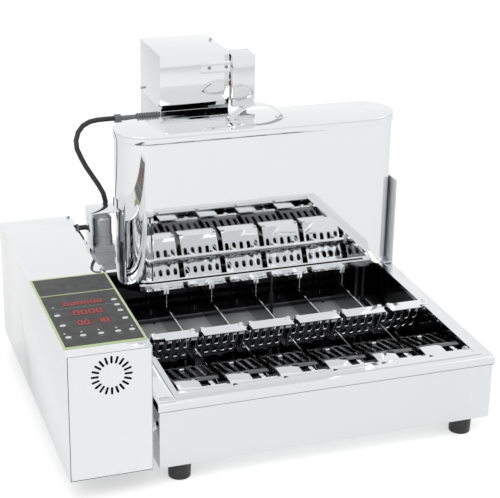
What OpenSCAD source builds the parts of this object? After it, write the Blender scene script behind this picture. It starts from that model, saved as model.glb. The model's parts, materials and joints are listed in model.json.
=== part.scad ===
// Six-lane automatic ring fryer with a dosing hopper, millimetres, +Z up.
// The machine stands on its four feet at z = 0 and its front faces -Y.
// Lengths inside the modules run from the middle of the tank's front lip.

/* [Tank] */
// Width of the tank casing over its lip
tank_w = 500; // [470:1:540]
// Height of the tank casing without its feet
tank_h = 98; // [94:1:120]
// Height of the folded lip
lip_drop = 12; // [6:1:20]
// How far the lip stands proud of the casing wall
lip_proud = 2; // [1:0.5:4]
// Sheet thickness of casings and covers
sheet = 1.2; // [0.8:0.1:1.6]
// Width of the front flange
flange_front = 20; // [14:1:30]
// Width of the left flange, which covers the linkage
flange_left = 34; // [32:1:44]
// Width of the right flange
flange_right = 24; // [22:1:34]
// Height of the rubber feet
foot_h = 27; // [15:1:40]
// Diameter of the rubber feet
foot_d = 33; // [24:1:40]

/* [Pan and lanes] */
// Depth of the pan's opening, front to rear
pan_d = 430; // [428:1:440]
// Depth of the pan below the flange
pan_depth = 80; // [76:1:84]
// Sheet thickness of the pan
pan_t = 1.5; // [1:0.1:2]
// Width of the rim that carries the pan
pan_rim = 8; // [5:0.5:9]
// Number of lanes
lanes = 6; // [4:1:6]
// Thickness of a lane divider
divider_t = 1; // [0.8:0.1:1.6]
// Depth of the dividers' top edge below the flange
divider_low = 4; // [2.5:0.5:8]
// Diameter of the heating tube
heater_d = 8; // [6:0.5:9]

/* [Forks] */
// Diameter of both fork shafts
shaft_d = 8; // [6:0.5:9]
// Depth of the shafts below the flange
shaft_low = 10; // [9.5:0.5:12]
// Distance of the flip shaft from the front lip
flip_y = 210; // [208:1:214]
// Distance of the discharge shaft from the front lip
discharge_y = 45; // [44:1:48]
// Reach of the flip fork's plate behind its shaft
flip_reach = 62; // [50:1:64]
// Drop of the flip fork's rear comb
comb_drop = 28; // [20:1:34]
// Reach of the discharge fork behind its shaft
discharge_reach = 106; // [90:1:110]
// Slope of the discharge fork's fingers
discharge_slope = 18; // [12:1:20]
// Slots in each fork
fork_slots = 5; // [3:1:5]
// Gap between a fork and its lane's dividers
fork_gap = 4; // [2:0.5:8]
// Sheet thickness of the forks
fork_t = 1.5; // [1:0.1:2]

/* [Linkage] */
// Crank radius
crank_r = 18; // [14:1:19]
// Diameter of the crank pins
pin_d = 5; // [4:0.5:6]
// Radial clearance of shafts and pins in their bores
fit_gap = 0.05; // [0.03:0.01:0.08]
// Distance of the gearmotor's shaft from the front lip
gearmotor_y = 404; // [400:1:408]

/* [Hopper] */
// Distance of the hopper's left end from the pan's left wall
hopper_left = 10; // [9:0.5:14]
// How far the hopper's right end stands over the casing's right side
hopper_right = 2; // [1:0.5:4]
// Depth of the lid over its rim
hopper_d = 98; // [90:1:99]
// Height from the flange to the lid's top
hopper_h = 254; // [245:1:280]
// How far the hopper stands over the pan's rear wall
hopper_over = 3; // [1:1:5]
// Height of the lid's rim
lid_rim = 13; // [8:1:15]
// Height of the bowl's floor above the flange
bowl_z = 47; // [40:1:60]
// Outer diameter of the dosing nozzles
nozzle_d = 30; // [26:0.5:34]
// Lift of the plungers
plunger_lift = 24; // [18:1:26]
// Span of the lid's handle
handle_w = 90; // [70:1:120]
// Height of the lid's handle
handle_h = 24; // [20:1:34]

/* [Drive] */
// Width of the drive box
drive_w = 113; // [100:1:125]
// Depth of the drive box
drive_d = 118; // [100:1:119]
// Height of the drive box
drive_h = 85; // [82:1:100]
// Space between the hopper and the drive column
drive_gap = 17; // [16.5:0.5:20]
// Space behind the drive column
tank_tail = 2; // [1:1:30]
// Width of the rack's channel
channel_w = 37; // [34:1:44]
// Gear module of rack and pinion
gear_m = 1.5; // [1.3:0.1:1.6]
// Teeth of the pinion
pinion_teeth = 16; // [16:1:18]

/* [Control box] */
// Width of the control box
ctl_w = 113; // [100:1:126]
// Depth of the control box
ctl_d = 492; // [470:1:520]
// Height of the control box
ctl_h = 185; // [160:1:210]
// Gap between the control box and the tank
ctl_gap = 9; // [6:0.5:14]
// Distance of the panel's front edge from the box's front
panel_y = 21; // [14:1:30]
// Length of the panel
panel_d = 229; // [215:1:240]
// Width of the panel's coloured border
border = 3; // [2:0.5:4]
// Travel of a panel key
key_travel = 0.6; // [0.3:0.1:0.8]
// Size of the fan behind the vent
fan_size = 60; // [58:1:70]
// Number of vent slots
vent_slots = 20; // [14:1:22]
// Diameter of the drive lead
lead_d = 8; // [6:0.5:9]

/* [Hidden] */
$fn = 48;

steel = [0.86, 0.87, 0.88];
dark_steel = [0.45, 0.46, 0.48];
black = [0.08, 0.08, 0.09];
ivory = [0.93, 0.93, 0.9];
lime = [0.78, 0.84, 0.6];
red = [0.85, 0.1, 0.1];
board_green = [0.1, 0.4, 0.2];
brass = [0.8, 0.65, 0.3];

seat_gap = 0.3;
bracket_t = 1.6;
hopper_y = flange_front + pan_d + hopper_over - hopper_d;
drive_y0 = hopper_y + hopper_d + drive_gap;
drive_y1 = drive_y0 + drive_d;
tank_d = drive_y1 + tank_tail;
hopper_x0 = -tank_w / 2 + flange_left + hopper_left;
hopper_x1 = tank_w / 2 + hopper_right;
hopper_w = hopper_x1 - hopper_x0;
hopper_x = (hopper_x0 + hopper_x1) / 2;
wall_gap = 1.5;
bracket_x = hopper_x1 - wall_gap + seat_gap;
bolt_d = 8;
bracket_over = bracket_x + bracket_t + 0.3 * bolt_d - tank_w / 2;
ctl_proud = 5.5;
ctl_rise = 5;
total_w = ctl_w + ctl_gap + tank_w + bracket_over;
total_d = ctl_proud + tank_d;
origin_x = -total_w / 2 + ctl_w + ctl_gap + tank_w / 2;
origin_y = -total_d / 2 + ctl_proud;

z_base = foot_h;
z_top = foot_h + tank_h;
pan_x0 = -tank_w / 2 + flange_left;
pan_x1 = tank_w / 2 - flange_right;
pan_y0 = flange_front;
pan_y1 = pan_y0 + pan_d;
pan_floor = z_top - pan_depth;
wall_x = tank_w / 2 - lip_proud - sheet;
lane_w = (pan_x1 - pan_x0) / lanes;
divider_top = z_top - divider_low;
front_div_y0 = discharge_y - 11;
front_div_y1 = flip_y - 26;
rear_div_y0 = flip_y + 20;
rear_div_y1 = pan_y1 - 8;
leg_h = 21;
leg_w = 10;

shaft_z = z_top - shaft_low;
hub_d = shaft_d + 5;
fork_w = lane_w - divider_t - 2 * fork_gap;
plate_z = shaft_z + shaft_d / 2;
slot_pitch = fork_w / fork_slots;
slot_w = slot_pitch * 0.52;

rod_t = 2.5;
rod_x = -wall_x + 5.2;
crank_t = 3;
crank_x = rod_x + rod_t + 0.6;
crank_rest = 195;
boss_d = pin_d + 5;
arm_w = boss_d - 2;
pin_y = crank_r * cos(crank_rest);
pin_z = crank_r * sin(crank_rest);
bush_d = shaft_d + 6;
case_x0 = crank_x + crank_t + 0.5;
case_x1 = -tank_w / 2 + flange_left - pan_rim - 2;
shaft_end = pan_x1 + pan_t + 6;

lid_top = z_top + hopper_h;
shell_w = hopper_w - 2 * wall_gap;
shell_d = hopper_d - 2 * wall_gap;
hopper_cy = hopper_y + hopper_d / 2;
shell_z0 = z_top + 2;
shell_z1 = lid_top - sheet;
bowl_floor = z_top + bowl_z;
nozzle_bore = nozzle_d - 3.6;
nozzle_z0 = z_top + 12;
disc_h = 12;
disc_z = nozzle_z0 + 4;
rod_d = 8;
beam_z = lid_top - lid_rim - plunger_lift - 14;
beam_h = 10;
rack_x = 20;
rack_w = 10;
rack_y0 = hopper_y + hopper_d + 6;
rack_body = 4.6;
pitch_r = gear_m * pinion_teeth / 2;
rack_add = 0.8 * gear_m;
rack_ded = 1.1 * gear_m;
rack_pitch_y = rack_y0 + rack_body + rack_ded;
pinion_y = rack_pitch_y + pitch_r + 0.1;
mesh_backlash = 0.35;

drive_x0 = -114;
drive_x1 = drive_x0 + drive_w;
drive_z0 = lid_top + 7;
drive_z1 = drive_z0 + drive_h;
channel_x0 = drive_x1 + 2;
channel_x1 = channel_x0 + channel_w;
channel_y0 = rack_y0 - 1.3 - sheet;
channel_y1 = pinion_y + pitch_r + gear_m + 6;
channel_z0 = drive_z0 - 2;
channel_z1 = drive_z1 - 4;
pinion_z = drive_z0 + 31;
rack_z1 = channel_z1 - sheet - plunger_lift - 3;

ctl_x0 = -tank_w / 2 - ctl_gap - ctl_w;
ctl_x1 = ctl_x0 + ctl_w;
ctl_y0 = -ctl_proud;
ctl_y1 = ctl_y0 + ctl_d;
ctl_z0 = z_base + ctl_rise;
ctl_z1 = ctl_z0 + ctl_h;
panel_y0 = ctl_y0 + panel_y;
panel_y1 = panel_y0 + panel_d;
panel_x0 = ctl_x0 + 1;
panel_x1 = ctl_x1 - 1;
panel_t = 1.2;
header_y = panel_y1 - 62;
window_x = (panel_x0 + panel_x1) / 2;
vent_x = window_x + 2;
vent_z = ctl_z0 + 150;
key_size = [8, 4.6];
key_gap = 0.3;
key_proud = 1;
front_rows_y = panel_y0 + 33;

// Each window is [distance behind the panel's front edge, width, depth]
windows = [[134, 60, 12], [103, 48, 17], [71, 46, 17]];
// Each key is [x from the panel's middle, distance behind the panel's front edge]
key_spots = [
    [-42.5, 101], [-42, 68],
    [43.5, 132], [43.5, 114], [43.5, 95], [43.5, 69],
    [-42.5, 31], [-22.5, 32], [1.5, 32], [24.5, 32], [43.5, 32]
];
// Each lamp is [x from the panel's middle, distance behind the panel's front edge]
lamp_spots = [[-42.5, 128], [-45, 43], [-22.5, 43], [0.5, 43], [24.5, 43], [46, 43]];

// The lead's centreline, from the gland nut to the grommet in the control box
lead_points = [
    [-186, 480, 374], [-199, 480, 374], [-213, 479, 374], [-226, 476, 373], [-238, 471, 369],
    [-247, 465, 361], [-252, 459, 350], [-252, 454, 338], [-247, 450, 325], [-240, 447, 310],
    [-231, 444, 295], [-222, 442, 280], [-215, 441, 266], [-212, 440, 252], [-215, 439, 239],
    [-223, 438, 227], [-234, 437, 218], [-246, 437, 214], [-257, 437, 214]
];

function lane_x(k) = pan_x0 + lane_w * (k + 0.5);
function seam_x(k) = pan_x0 + lane_w * k;
function unit(v) = v / norm(v);

// Moves machine coordinates to the part's own origin
module machine() {
    translate([origin_x, origin_y, 0]) children();
}

// A box between two corners
module block(a, b) {
    translate(a) cube(b - a);
}

// A closed shell between two corners, open on the side named by its unit direction
module open_box(a, b, wall, side) {
    difference() {
        block(a, b);
        block(a + [for (i = [0:2]) side[i] < 0 ? -wall : wall],
              b - [for (i = [0:2]) side[i] > 0 ? -wall : wall]);
    }
}

// A cylinder along X that starts at x
module bar_x(x, y, z, d, len) {
    translate([x, y, z]) rotate([0, 90, 0]) cylinder(d = d, h = len);
}

// A cylinder along Y that starts at y
module bar_y(x, y, z, d, len) {
    translate([x, y, z]) rotate([-90, 0, 0]) cylinder(d = d, h = len);
}

// A cylinder along Z that starts at z
module bar_z(x, y, z, d, len) {
    translate([x, y, z]) cylinder(d = d, h = len);
}

// A flat outline with straight sides and round ends, centred
module stadium(len, dep) {
    square([len - dep, dep], center = true);
    for (s = [-1, 1]) translate([s * (len - dep) / 2, 0]) circle(d = dep, $fn = 96);
}

// A slot outline with round ends that runs from y0 to y1
module slot2d(w, y0, y1) {
    translate([-w / 2, y0 + w / 2]) square([w, y1 - y0 - w]);
    for (y = [y0 + w / 2, y1 - w / 2]) translate([0, y]) circle(d = w, $fn = 24);
}

// ---------------------------------------------------------------- tank

module tank_casing() {
    color(steel) machine() difference() {
        union() {
            block([-tank_w / 2 + lip_proud, lip_proud, z_base],
                  [tank_w / 2 - lip_proud, tank_d - lip_proud, z_top]);
            block([-tank_w / 2, 0, z_top - lip_drop], [tank_w / 2, tank_d, z_top]);
        }
        block([-wall_x, lip_proud + sheet, z_base + sheet],
              [wall_x, tank_d - lip_proud - sheet, z_top - sheet]);
        block([pan_x0 - pan_t - seat_gap, pan_y0 - pan_t - seat_gap, z_base + sheet + 1],
              [pan_x1 + pan_t + seat_gap, pan_y1 + pan_t + seat_gap, z_top + 1]);
        block([-wall_x + 1, pan_y0 + 8, z_top - 5], [case_x1, gearmotor_y - 32, z_top + 1]);
        block([case_x0 - 1, gearmotor_y - 16, z_top - 5], [case_x1 + 1, gearmotor_y + 16, z_top + 1]);
    }
}

module oil_pan() {
    color(steel) machine() difference() {
        union() {
            block([pan_x0 - pan_t, pan_y0 - pan_t, pan_floor - pan_t], [pan_x1 + pan_t, pan_y1 + pan_t, z_top]);
            block([pan_x0 - pan_rim, pan_y0 - pan_rim, z_top], [pan_x1 + pan_rim, pan_y1 + pan_rim, z_top + pan_t]);
        }
        block([pan_x0, pan_y0, pan_floor], [pan_x1, pan_y1, z_top + pan_t + 1]);
        for (y = [discharge_y, flip_y]) bar_x(pan_x0 - 5, y, shaft_z, bush_d, pan_x1 - pan_x0 + 10);
    }
}

module linkage_cover() {
    color(steel) machine() difference() {
        block([-tank_w / 2 + 0.5, 4, z_top], [pan_x0 - pan_rim - 0.5, gearmotor_y - 26, z_top + sheet]);
        translate([(-tank_w / 2 + pan_x0 - pan_rim) / 2, 0, z_top - 1]) linear_extrude(sheet + 2) {
            translate([0, 16]) rotate(90) slot2d(5, -9, 9);
        }
    }
}

module feet() {
    color(black) machine() for (x = [-1, 1], y = [24, tank_d - 24])
        translate([x * (tank_w / 2 - 36), y, 0]) difference() {
            cylinder(d1 = foot_d - 2, d2 = foot_d, h = foot_h);
            translate([0, 0, -1]) cylinder(d = foot_d / 3, h = 7);
        }
}

module front_sill() {
    notch = 7;
    sill_y1 = discharge_y - 15.8 - 0.6;
    color(steel) machine() difference() {
        union() {
            block([pan_x0, pan_y0, z_top - 7], [pan_x1, pan_y0 + sheet, z_top + pan_t]);
            block([pan_x0, pan_y0, z_top - 7], [pan_x1, sill_y1, z_top - 7 + fork_t]);
            for (k = [0:lanes - 1])
                block([seam_x(k) + divider_t + 1, pan_y0, z_top - 7],
                      [seam_x(k) + lane_w * 0.45, sill_y1, z_top - 2]);
        }
        for (k = [1:lanes - 1])
            translate([seam_x(k), sill_y1 + 0.1, z_top - 8]) linear_extrude(20)
                polygon([[-notch / 2, 0], [notch / 2, 0], [0, -notch]]);
    }
}

// One upright lane plate on legs, with arches over the heating tube
module divider(k, y0, y1) {
    translate([seam_x(k) - divider_t / 2, 0, 0]) {
        block([0, y0, pan_floor + leg_h], [divider_t, y1, divider_top]);
        for (y = [y0, y1 - leg_w]) block([0, y, pan_floor], [divider_t, y + leg_w, divider_top]);
    }
}

module front_dividers() {
    color(steel) machine() difference() {
        for (k = [1:lanes - 1]) divider(k, front_div_y0, front_div_y1);
        block([pan_x0, discharge_y - hub_d / 2 - 1, shaft_z - hub_d / 2 - 1],
              [pan_x1, discharge_y + hub_d / 2 + 1, z_top]);
    }
}

module rear_dividers() {
    color(steel) machine() for (k = [1:lanes - 1]) {
        divider(k, rear_div_y0, rear_div_y1);
        block([seam_x(k) - divider_t / 2, hopper_y - 17, divider_top],
              [seam_x(k) + divider_t / 2, hopper_y - 9, z_top + 9]);
    }
}

module divider_rail() {
    rail_z = z_top + 10;
    color(steel) machine() {
        block([pan_x0 + 35, hopper_y - 7, rail_z], [pan_x1 - 21, hopper_y - 1.5, rail_z + 6]);
        for (x = [pan_x0 + 40, pan_x1 - 26])
            block([x - 5, hopper_y - 1.5, rail_z], [x + 5, hopper_y + wall_gap, rail_z + 6]);
        for (k = [1:lanes - 1]) difference() {
            block([seam_x(k) - 4, hopper_y - 16, z_top + 3], [seam_x(k) + 4, hopper_y - 7, rail_z + 4]);
            block([seam_x(k) - divider_t / 2 - 0.3, hopper_y - 18, z_top + 2],
                  [seam_x(k) + divider_t / 2 + 0.3, hopper_y - 8.5, z_top + 9.3]);
        }
    }
}

module heating_element() {
    turn_r = 20;
    row_y = [for (i = [0:2]) pan_y0 + 65 + i * 2 * turn_r];
    back_y = hopper_y + 55;
    riser_y = hopper_y + 30;
    x_ret = pan_x0 + 12;
    x0 = x_ret + turn_r + heater_d + 3;
    x_feed = pan_x1 - 15;
    riser_x = [x_feed - 12, x_feed];
    x1 = x_feed - turn_r - heater_d - 3;
    z = pan_floor + heater_d / 2 + 4;
    color(dark_steel) machine() {
        bar_x(x0, row_y[0], z, heater_d, x_feed - x0);
        bar_x(x0, row_y[1], z, heater_d, x1 - x0);
        bar_x(x_ret, row_y[2], z, heater_d, x1 - x_ret);
        translate([x0, row_y[0] + turn_r, z]) rotate([0, 0, 90])
            rotate_extrude(angle = 180) translate([turn_r, 0]) circle(d = heater_d, $fn = 24);
        translate([x1, row_y[1] + turn_r, z]) rotate([0, 0, -90])
            rotate_extrude(angle = 180) translate([turn_r, 0]) circle(d = heater_d, $fn = 24);
        bar_y(x_ret, row_y[2], z, heater_d, back_y - row_y[2]);
        bar_x(x_ret, back_y, z, heater_d, riser_x[0] - x_ret);
        bar_y(riser_x[0], riser_y, z, heater_d, back_y - riser_y);
        bar_y(x_feed, row_y[0], z, heater_d, riser_y - row_y[0]);
        for (x = riser_x) bar_z(x, riser_y, z, heater_d, z_top + 10 - z);
        for (p = [[x_feed, row_y[0]], [x_ret, row_y[2]], [x_ret, back_y], [riser_x[0], back_y],
                  [riser_x[0], riser_y], [x_feed, riser_y]]) translate([p[0], p[1], z]) sphere(d = heater_d);
        for (x = [x0 + 30, x1 - 30], y = [row_y[0], row_y[2], back_y])
            bar_z(x, y, pan_floor, heater_d * 0.6, heater_d);
    }
}

module thermostat_probe() {
    color(brass) machine() translate([lane_x(3) - 6, hopper_y - 4, 0]) {
        translate([0, 0, z_top - 62]) cylinder(d = 7, h = 40);
        translate([0, 0, z_top - 22]) cylinder(d = 4, h = 32);
        translate([0, 0, z_top - 62]) sphere(d = 7);
    }
}

// ---------------------------------------------------------------- forks and linkage

// Lugs that hold a fork on its shaft
module fork_lugs(y) {
    for (s = [-1, 1]) difference() {
        union() {
            bar_x(s * fork_w * 0.33 - 6, y, shaft_z, hub_d, 12);
            block([s * fork_w * 0.33 - 6, y - 3.5, shaft_z], [s * fork_w * 0.33 + 6, y + 3.5, plate_z + fork_t / 2]);
        }
        bar_x(s * fork_w * 0.33 - 7, y, shaft_z, shaft_d, 14);
    }
}

module flip_fork() {
    y0 = flip_y - 6;
    y1 = flip_y + flip_reach;
    fork_lugs(flip_y);
    block([-fork_w / 2, y0, plate_z], [fork_w / 2, y1, plate_z + fork_t]);
    difference() {
        block([-fork_w / 2, y1 - fork_t, plate_z - comb_drop], [fork_w / 2, y1, plate_z]);
        for (i = [0:fork_slots - 1])
            translate([(i - (fork_slots - 1) / 2) * slot_pitch, y1 + 1, plate_z]) rotate([90, 0, 0])
                linear_extrude(fork_t + 2) slot2d(slot_w, -comb_drop - 12, -6);
    }
    difference() {
        block([-fork_w / 2, y0 - fork_t, plate_z - 19], [fork_w / 2, y0, plate_z + fork_t]);
        for (i = [0:fork_slots - 1])
            translate([(i - (fork_slots - 1) / 2) * slot_pitch, y0 + 1, plate_z]) rotate([90, 0, 0])
                linear_extrude(fork_t + 2) slot2d(slot_w, -15, -3);
    }
}

module discharge_fork() {
    a = discharge_slope;
    len = discharge_reach - 14;
    heel = 12;
    top_y = heel + fork_t * (sin(a) - tan(a / 2) * cos(a));
    fork_lugs(discharge_y);
    difference() {
        translate([-fork_w / 2, discharge_y, plate_z]) rotate([90, 0, 90]) linear_extrude(fork_w)
            polygon([[-5, 0], [heel, 0], [heel + len * cos(a), -len * sin(a)],
                     [heel + len * cos(a) + fork_t * sin(a), fork_t * cos(a) - len * sin(a)],
                     [top_y, fork_t], [-5, fork_t]]);
        translate([0, discharge_y + heel, plate_z]) rotate([-a, 0, 0]) translate([0, 0, -5]) linear_extrude(12) {
            for (i = [0:fork_slots - 1])
                translate([(i - (fork_slots - 1) / 2) * slot_pitch, 0]) slot2d(slot_w, 14, len - 9);
            for (i = [0:fork_slots])
                translate([(i - fork_slots / 2) * slot_pitch, len + 1]) circle(d = slot_pitch * 0.6, $fn = 24);
        }
    }
}

// A crank arm at rest angle with its pin toward -X
module crank(y) {
    difference() {
        union() {
            bar_x(crank_x, y, shaft_z, hub_d, crank_t);
            bar_x(crank_x, y + pin_y, shaft_z + pin_z, boss_d, crank_t);
            translate([crank_x, y, shaft_z]) rotate([crank_rest, 0, 0])
                translate([0, 0, -arm_w / 2]) cube([crank_t, crank_r, arm_w]);
            bar_x(rod_x - 0.5, y + pin_y, shaft_z + pin_z, pin_d, crank_x - rod_x + 1);
        }
        bar_x(crank_x - 1, y, shaft_z, shaft_d, crank_t + 2);
    }
}

module flip_shaft() {
    color(steel) machine() bar_x(crank_x, flip_y, shaft_z, shaft_d, shaft_end - crank_x);
}

module discharge_shaft() {
    color(steel) machine() bar_x(crank_x, discharge_y, shaft_z, shaft_d, shaft_end - crank_x);
}

module flip_forks() {
    color(steel) machine() for (k = [0:lanes - 1]) translate([lane_x(k), 0, 0]) flip_fork();
}

module discharge_forks() {
    color(steel) machine() for (k = [0:lanes - 1]) translate([lane_x(k), 0, 0]) discharge_fork();
}

module flip_crank() {
    color(dark_steel) machine() crank(flip_y);
}

module discharge_crank() {
    color(dark_steel) machine() crank(discharge_y);
}

module drive_crank() {
    color(dark_steel) machine() {
        crank(gearmotor_y);
        bar_x(crank_x, gearmotor_y, shaft_z, shaft_d, case_x1 - 2 - crank_x);
    }
}

module shaft_bushes() {
    color(ivory) machine() for (y = [discharge_y, flip_y], side = [-1, 1]) {
        x = side < 0 ? pan_x0 - pan_t : pan_x1;
        flange_x = side < 0 ? pan_x0 : pan_x1 - 2;
        difference() {
            union() {
                bar_x(x, y, shaft_z, bush_d, pan_t);
                bar_x(flange_x, y, shaft_z, bush_d + 2, 2);
            }
            bar_x(pan_x0 - 20, y, shaft_z, shaft_d + 2 * fit_gap, pan_x1 - pan_x0 + 40);
        }
    }
}

module coupling_rod() {
    stations = [discharge_y, flip_y, gearmotor_y];
    color(dark_steel) machine() difference() {
        union() {
            block([rod_x, discharge_y + pin_y, shaft_z + pin_z - 3.5],
                  [rod_x + rod_t, gearmotor_y + pin_y, shaft_z + pin_z + 3.5]);
            for (y = stations) bar_x(rod_x, y + pin_y, shaft_z + pin_z, boss_d, rod_t);
        }
        for (y = stations) bar_x(rod_x - 1, y + pin_y, shaft_z + pin_z, pin_d + 2 * fit_gap, rod_t + 2);
    }
}

module gearmotor() {
    y = gearmotor_y;
    x0 = -tank_w / 2 + 6;
    body_x = (x0 + pan_x0 + 6) / 2;
    motor_d = pan_x0 + 6 - x0 - 2;
    color(dark_steel) machine() {
        difference() {
            block([case_x0, y - 15, z_top - 28], [case_x1, y + 15, z_top + 4]);
            bar_x(case_x0 - 1, y, shaft_z, shaft_d + 2 * fit_gap, case_x1 - case_x0 + 2);
        }
        block([x0, y - 15, z_top + 2.5], [case_x1, y + 15, z_top + 34]);
        for (i = [0:3]) block([x0 + i % 2, y - 18 + i % 2, z_top + 34 + i * 10],
                              [pan_x0 + 6 - i % 2, y + 18 - i % 2, z_top + 44 + i * 10]);
        translate([body_x, y, z_top + 74]) cylinder(d = motor_d, h = 14);
        translate([body_x, y, z_top + 88]) cylinder(d = motor_d - 2, h = 28);
        translate([body_x, y, z_top + 116]) cylinder(d1 = motor_d - 2, d2 = motor_d - 10, h = 5);
    }
}

module motor_bracket() {
    x = -tank_w / 2 + 2;
    z = z_top + 131;
    tip = hopper_x - shell_w / 2 - seat_gap;
    color(steel) machine() {
        block([x, gearmotor_y - 20, z_top], [x + 2, gearmotor_y + 20, z]);
        block([x, gearmotor_y - 20, z - 2], [tip, gearmotor_y + 20, z]);
        block([tip - 2, gearmotor_y - 8, z - 2], [tip, gearmotor_y + 8, z + 14]);
        block([x, gearmotor_y - 4, z_top + 121], [pan_x0 - 5, gearmotor_y + 4, z - 2]);
    }
}

// ---------------------------------------------------------------- hopper

module hopper_shell() {
    color(steel) machine() difference() {
        union() {
            translate([hopper_x, hopper_cy, shell_z0]) linear_extrude(shell_z1 - shell_z0) difference() {
                stadium(shell_w, shell_d);
                stadium(shell_w - 2 * sheet, shell_d - 2 * sheet);
            }
            translate([hopper_x, hopper_cy, bowl_floor]) linear_extrude(pan_t)
                stadium(shell_w - sheet, shell_d - sheet);
        }
        for (k = [0:lanes - 1]) bar_z(lane_x(k), hopper_cy, bowl_floor - 1, nozzle_d, pan_t + 2);
        block([rack_x - rack_w / 2 - 2, hopper_cy, beam_z - 4],
              [rack_x + rack_w / 2 + 2, hopper_y + hopper_d + 1, beam_z + beam_h + plunger_lift + 2]);
    }
}

module nozzles() {
    color(steel) machine() for (k = [0:lanes - 1]) difference() {
        union() {
            bar_z(lane_x(k), hopper_cy, nozzle_z0, nozzle_d, bowl_floor + pan_t - nozzle_z0);
            bar_z(lane_x(k), hopper_cy, bowl_floor + pan_t, nozzle_d + 8, 1.5);
        }
        bar_z(lane_x(k), hopper_cy, nozzle_z0 - 1, nozzle_bore, bowl_floor - nozzle_z0 + 10);
    }
}

module plungers() {
    color(ivory) machine() for (k = [0:lanes - 1]) {
        bar_z(lane_x(k), hopper_cy, disc_z, nozzle_bore - 2 * fit_gap, disc_h);
        bar_z(lane_x(k), hopper_cy, disc_z + disc_h, rod_d, beam_z - disc_z - disc_h);
        translate([lane_x(k), hopper_cy, disc_z - 8]) cylinder(d1 = nozzle_bore - 8, d2 = 8, h = 8);
    }
}

module plunger_beam() {
    color(steel) machine() {
        block([lane_x(0) - 8, hopper_cy - 6, beam_z], [lane_x(lanes - 1) + 8, hopper_cy + 6, beam_z + beam_h]);
        block([rack_x - rack_w / 2, hopper_cy + 6, beam_z], [rack_x + rack_w / 2, rack_y0, beam_z + beam_h]);
    }
}

module lift_rack() {
    tooth_z0 = pinion_z - plunger_lift - 2 * PI * gear_m;
    count = round((plunger_lift + 4 * PI * gear_m) / (PI * gear_m));
    pitch = PI * gear_m;
    half_root = pitch / 4 - mesh_backlash / 4 + rack_ded * tan(20);
    half_tip = pitch / 4 - mesh_backlash / 4 - rack_add * tan(20);
    first = pinion_z + pitch / 2 - round((pinion_z - tooth_z0) / pitch) * pitch;
    color(dark_steel) machine() {
        block([rack_x - rack_w / 2, rack_y0, beam_z], [rack_x + rack_w / 2, rack_y0 + rack_body, rack_z1]);
        translate([rack_x - rack_w / 2, 0, 0]) rotate([90, 0, 90]) linear_extrude(rack_w)
            for (i = [0:count - 1]) translate([rack_y0 + rack_body, first + i * pitch])
                polygon([[-0.5, -half_root], [0, -half_root], [rack_ded + rack_add, -half_tip],
                         [rack_ded + rack_add, half_tip], [0, half_root], [-0.5, half_root]]);
    }
}

module hopper_lid() {
    color(steel) machine() difference() {
        translate([hopper_x, hopper_cy, lid_top - lid_rim]) linear_extrude(lid_rim) stadium(hopper_w, hopper_d);
        translate([hopper_x, hopper_cy, lid_top - lid_rim - 1]) linear_extrude(lid_rim + 1 - sheet)
            stadium(hopper_w - 2 * (wall_gap - seat_gap), hopper_d - 2 * (wall_gap - seat_gap));
    }
}

module lid_handle() {
    strap_w = 14;
    strap_t = 2;
    arc_r = (pow(handle_w / 2, 2) + pow(handle_h, 2)) / (2 * handle_h);
    color(steel) machine() translate([hopper_x, hopper_cy, lid_top]) {
        intersection() {
            translate([0, strap_w / 2, handle_h - arc_r]) rotate([90, 0, 0]) difference() {
                cylinder(r = arc_r, h = strap_w, $fn = 96);
                translate([0, 0, -1]) cylinder(r = arc_r - strap_t, h = strap_w + 2, $fn = 96);
            }
            translate([-handle_w / 2, -strap_w / 2, 0]) cube([handle_w, strap_w, handle_h + 1]);
        }
        for (s = [-1, 1]) translate([s * (handle_w / 2 - 4) - 8, -strap_w / 2, 0]) cube([16, strap_w, 1.2]);
    }
}

module hopper_bracket() {
    x = bracket_x;
    color(steel) machine() {
        block([x, hopper_y + 8, z_top - 2], [x + bracket_t, hopper_y + hopper_d - 5, z_top + 143]);
        block([pan_x1 + pan_rim + 1, hopper_y + 8, z_top],
              [x + bracket_t, hopper_y + hopper_d - 5, z_top + bracket_t]);
    }
}

// ---------------------------------------------------------------- dosing drive

module drive_box() {
    color(steel) machine() difference() {
        open_box([drive_x0, drive_y0, drive_z0], [drive_x1, drive_y1, drive_z1], sheet, [0, 0, -1]);
        bar_x(drive_x1 - 5, pinion_y, pinion_z, shaft_d + 4, 10);
    }
}

module drive_column() {
    color(steel) machine() {
        block([drive_x0, drive_y0, z_top], [drive_x0 + sheet, drive_y1, drive_z0]);
        block([drive_x1 - sheet, drive_y0, z_top], [drive_x1, drive_y1, drive_z0]);
        block([drive_x0, drive_y1 - sheet, z_top], [drive_x1, drive_y1, drive_z0]);
        block([drive_x0, drive_y0 + 2, drive_z0 - 6], [drive_x1, drive_y1, drive_z0 - 4.8]);
        block([drive_x0, drive_y0 + 2, z_top], [drive_x1, drive_y1, z_top + sheet]);
    }
}

module dosing_motor() {
    head = 44;
    y = pinion_y;
    head_y1 = min(y + head / 2 + 6, drive_y1 - sheet - 2);
    color(dark_steel) machine() {
        difference() {
            block([drive_x1 - sheet - 32, drive_y0 + sheet + 1, drive_z0 - 4.8],
                  [drive_x1 - sheet - 0.5, head_y1, pinion_z + head / 2]);
            bar_x(drive_x1 - 30, y, pinion_z, shaft_d + 2 * fit_gap, 40);
        }
        bar_x(drive_x0 + 18, drive_y0 + sheet + 26, pinion_z, 46, drive_x1 - sheet - 32 - drive_x0 - 18);
    }
}

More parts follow.
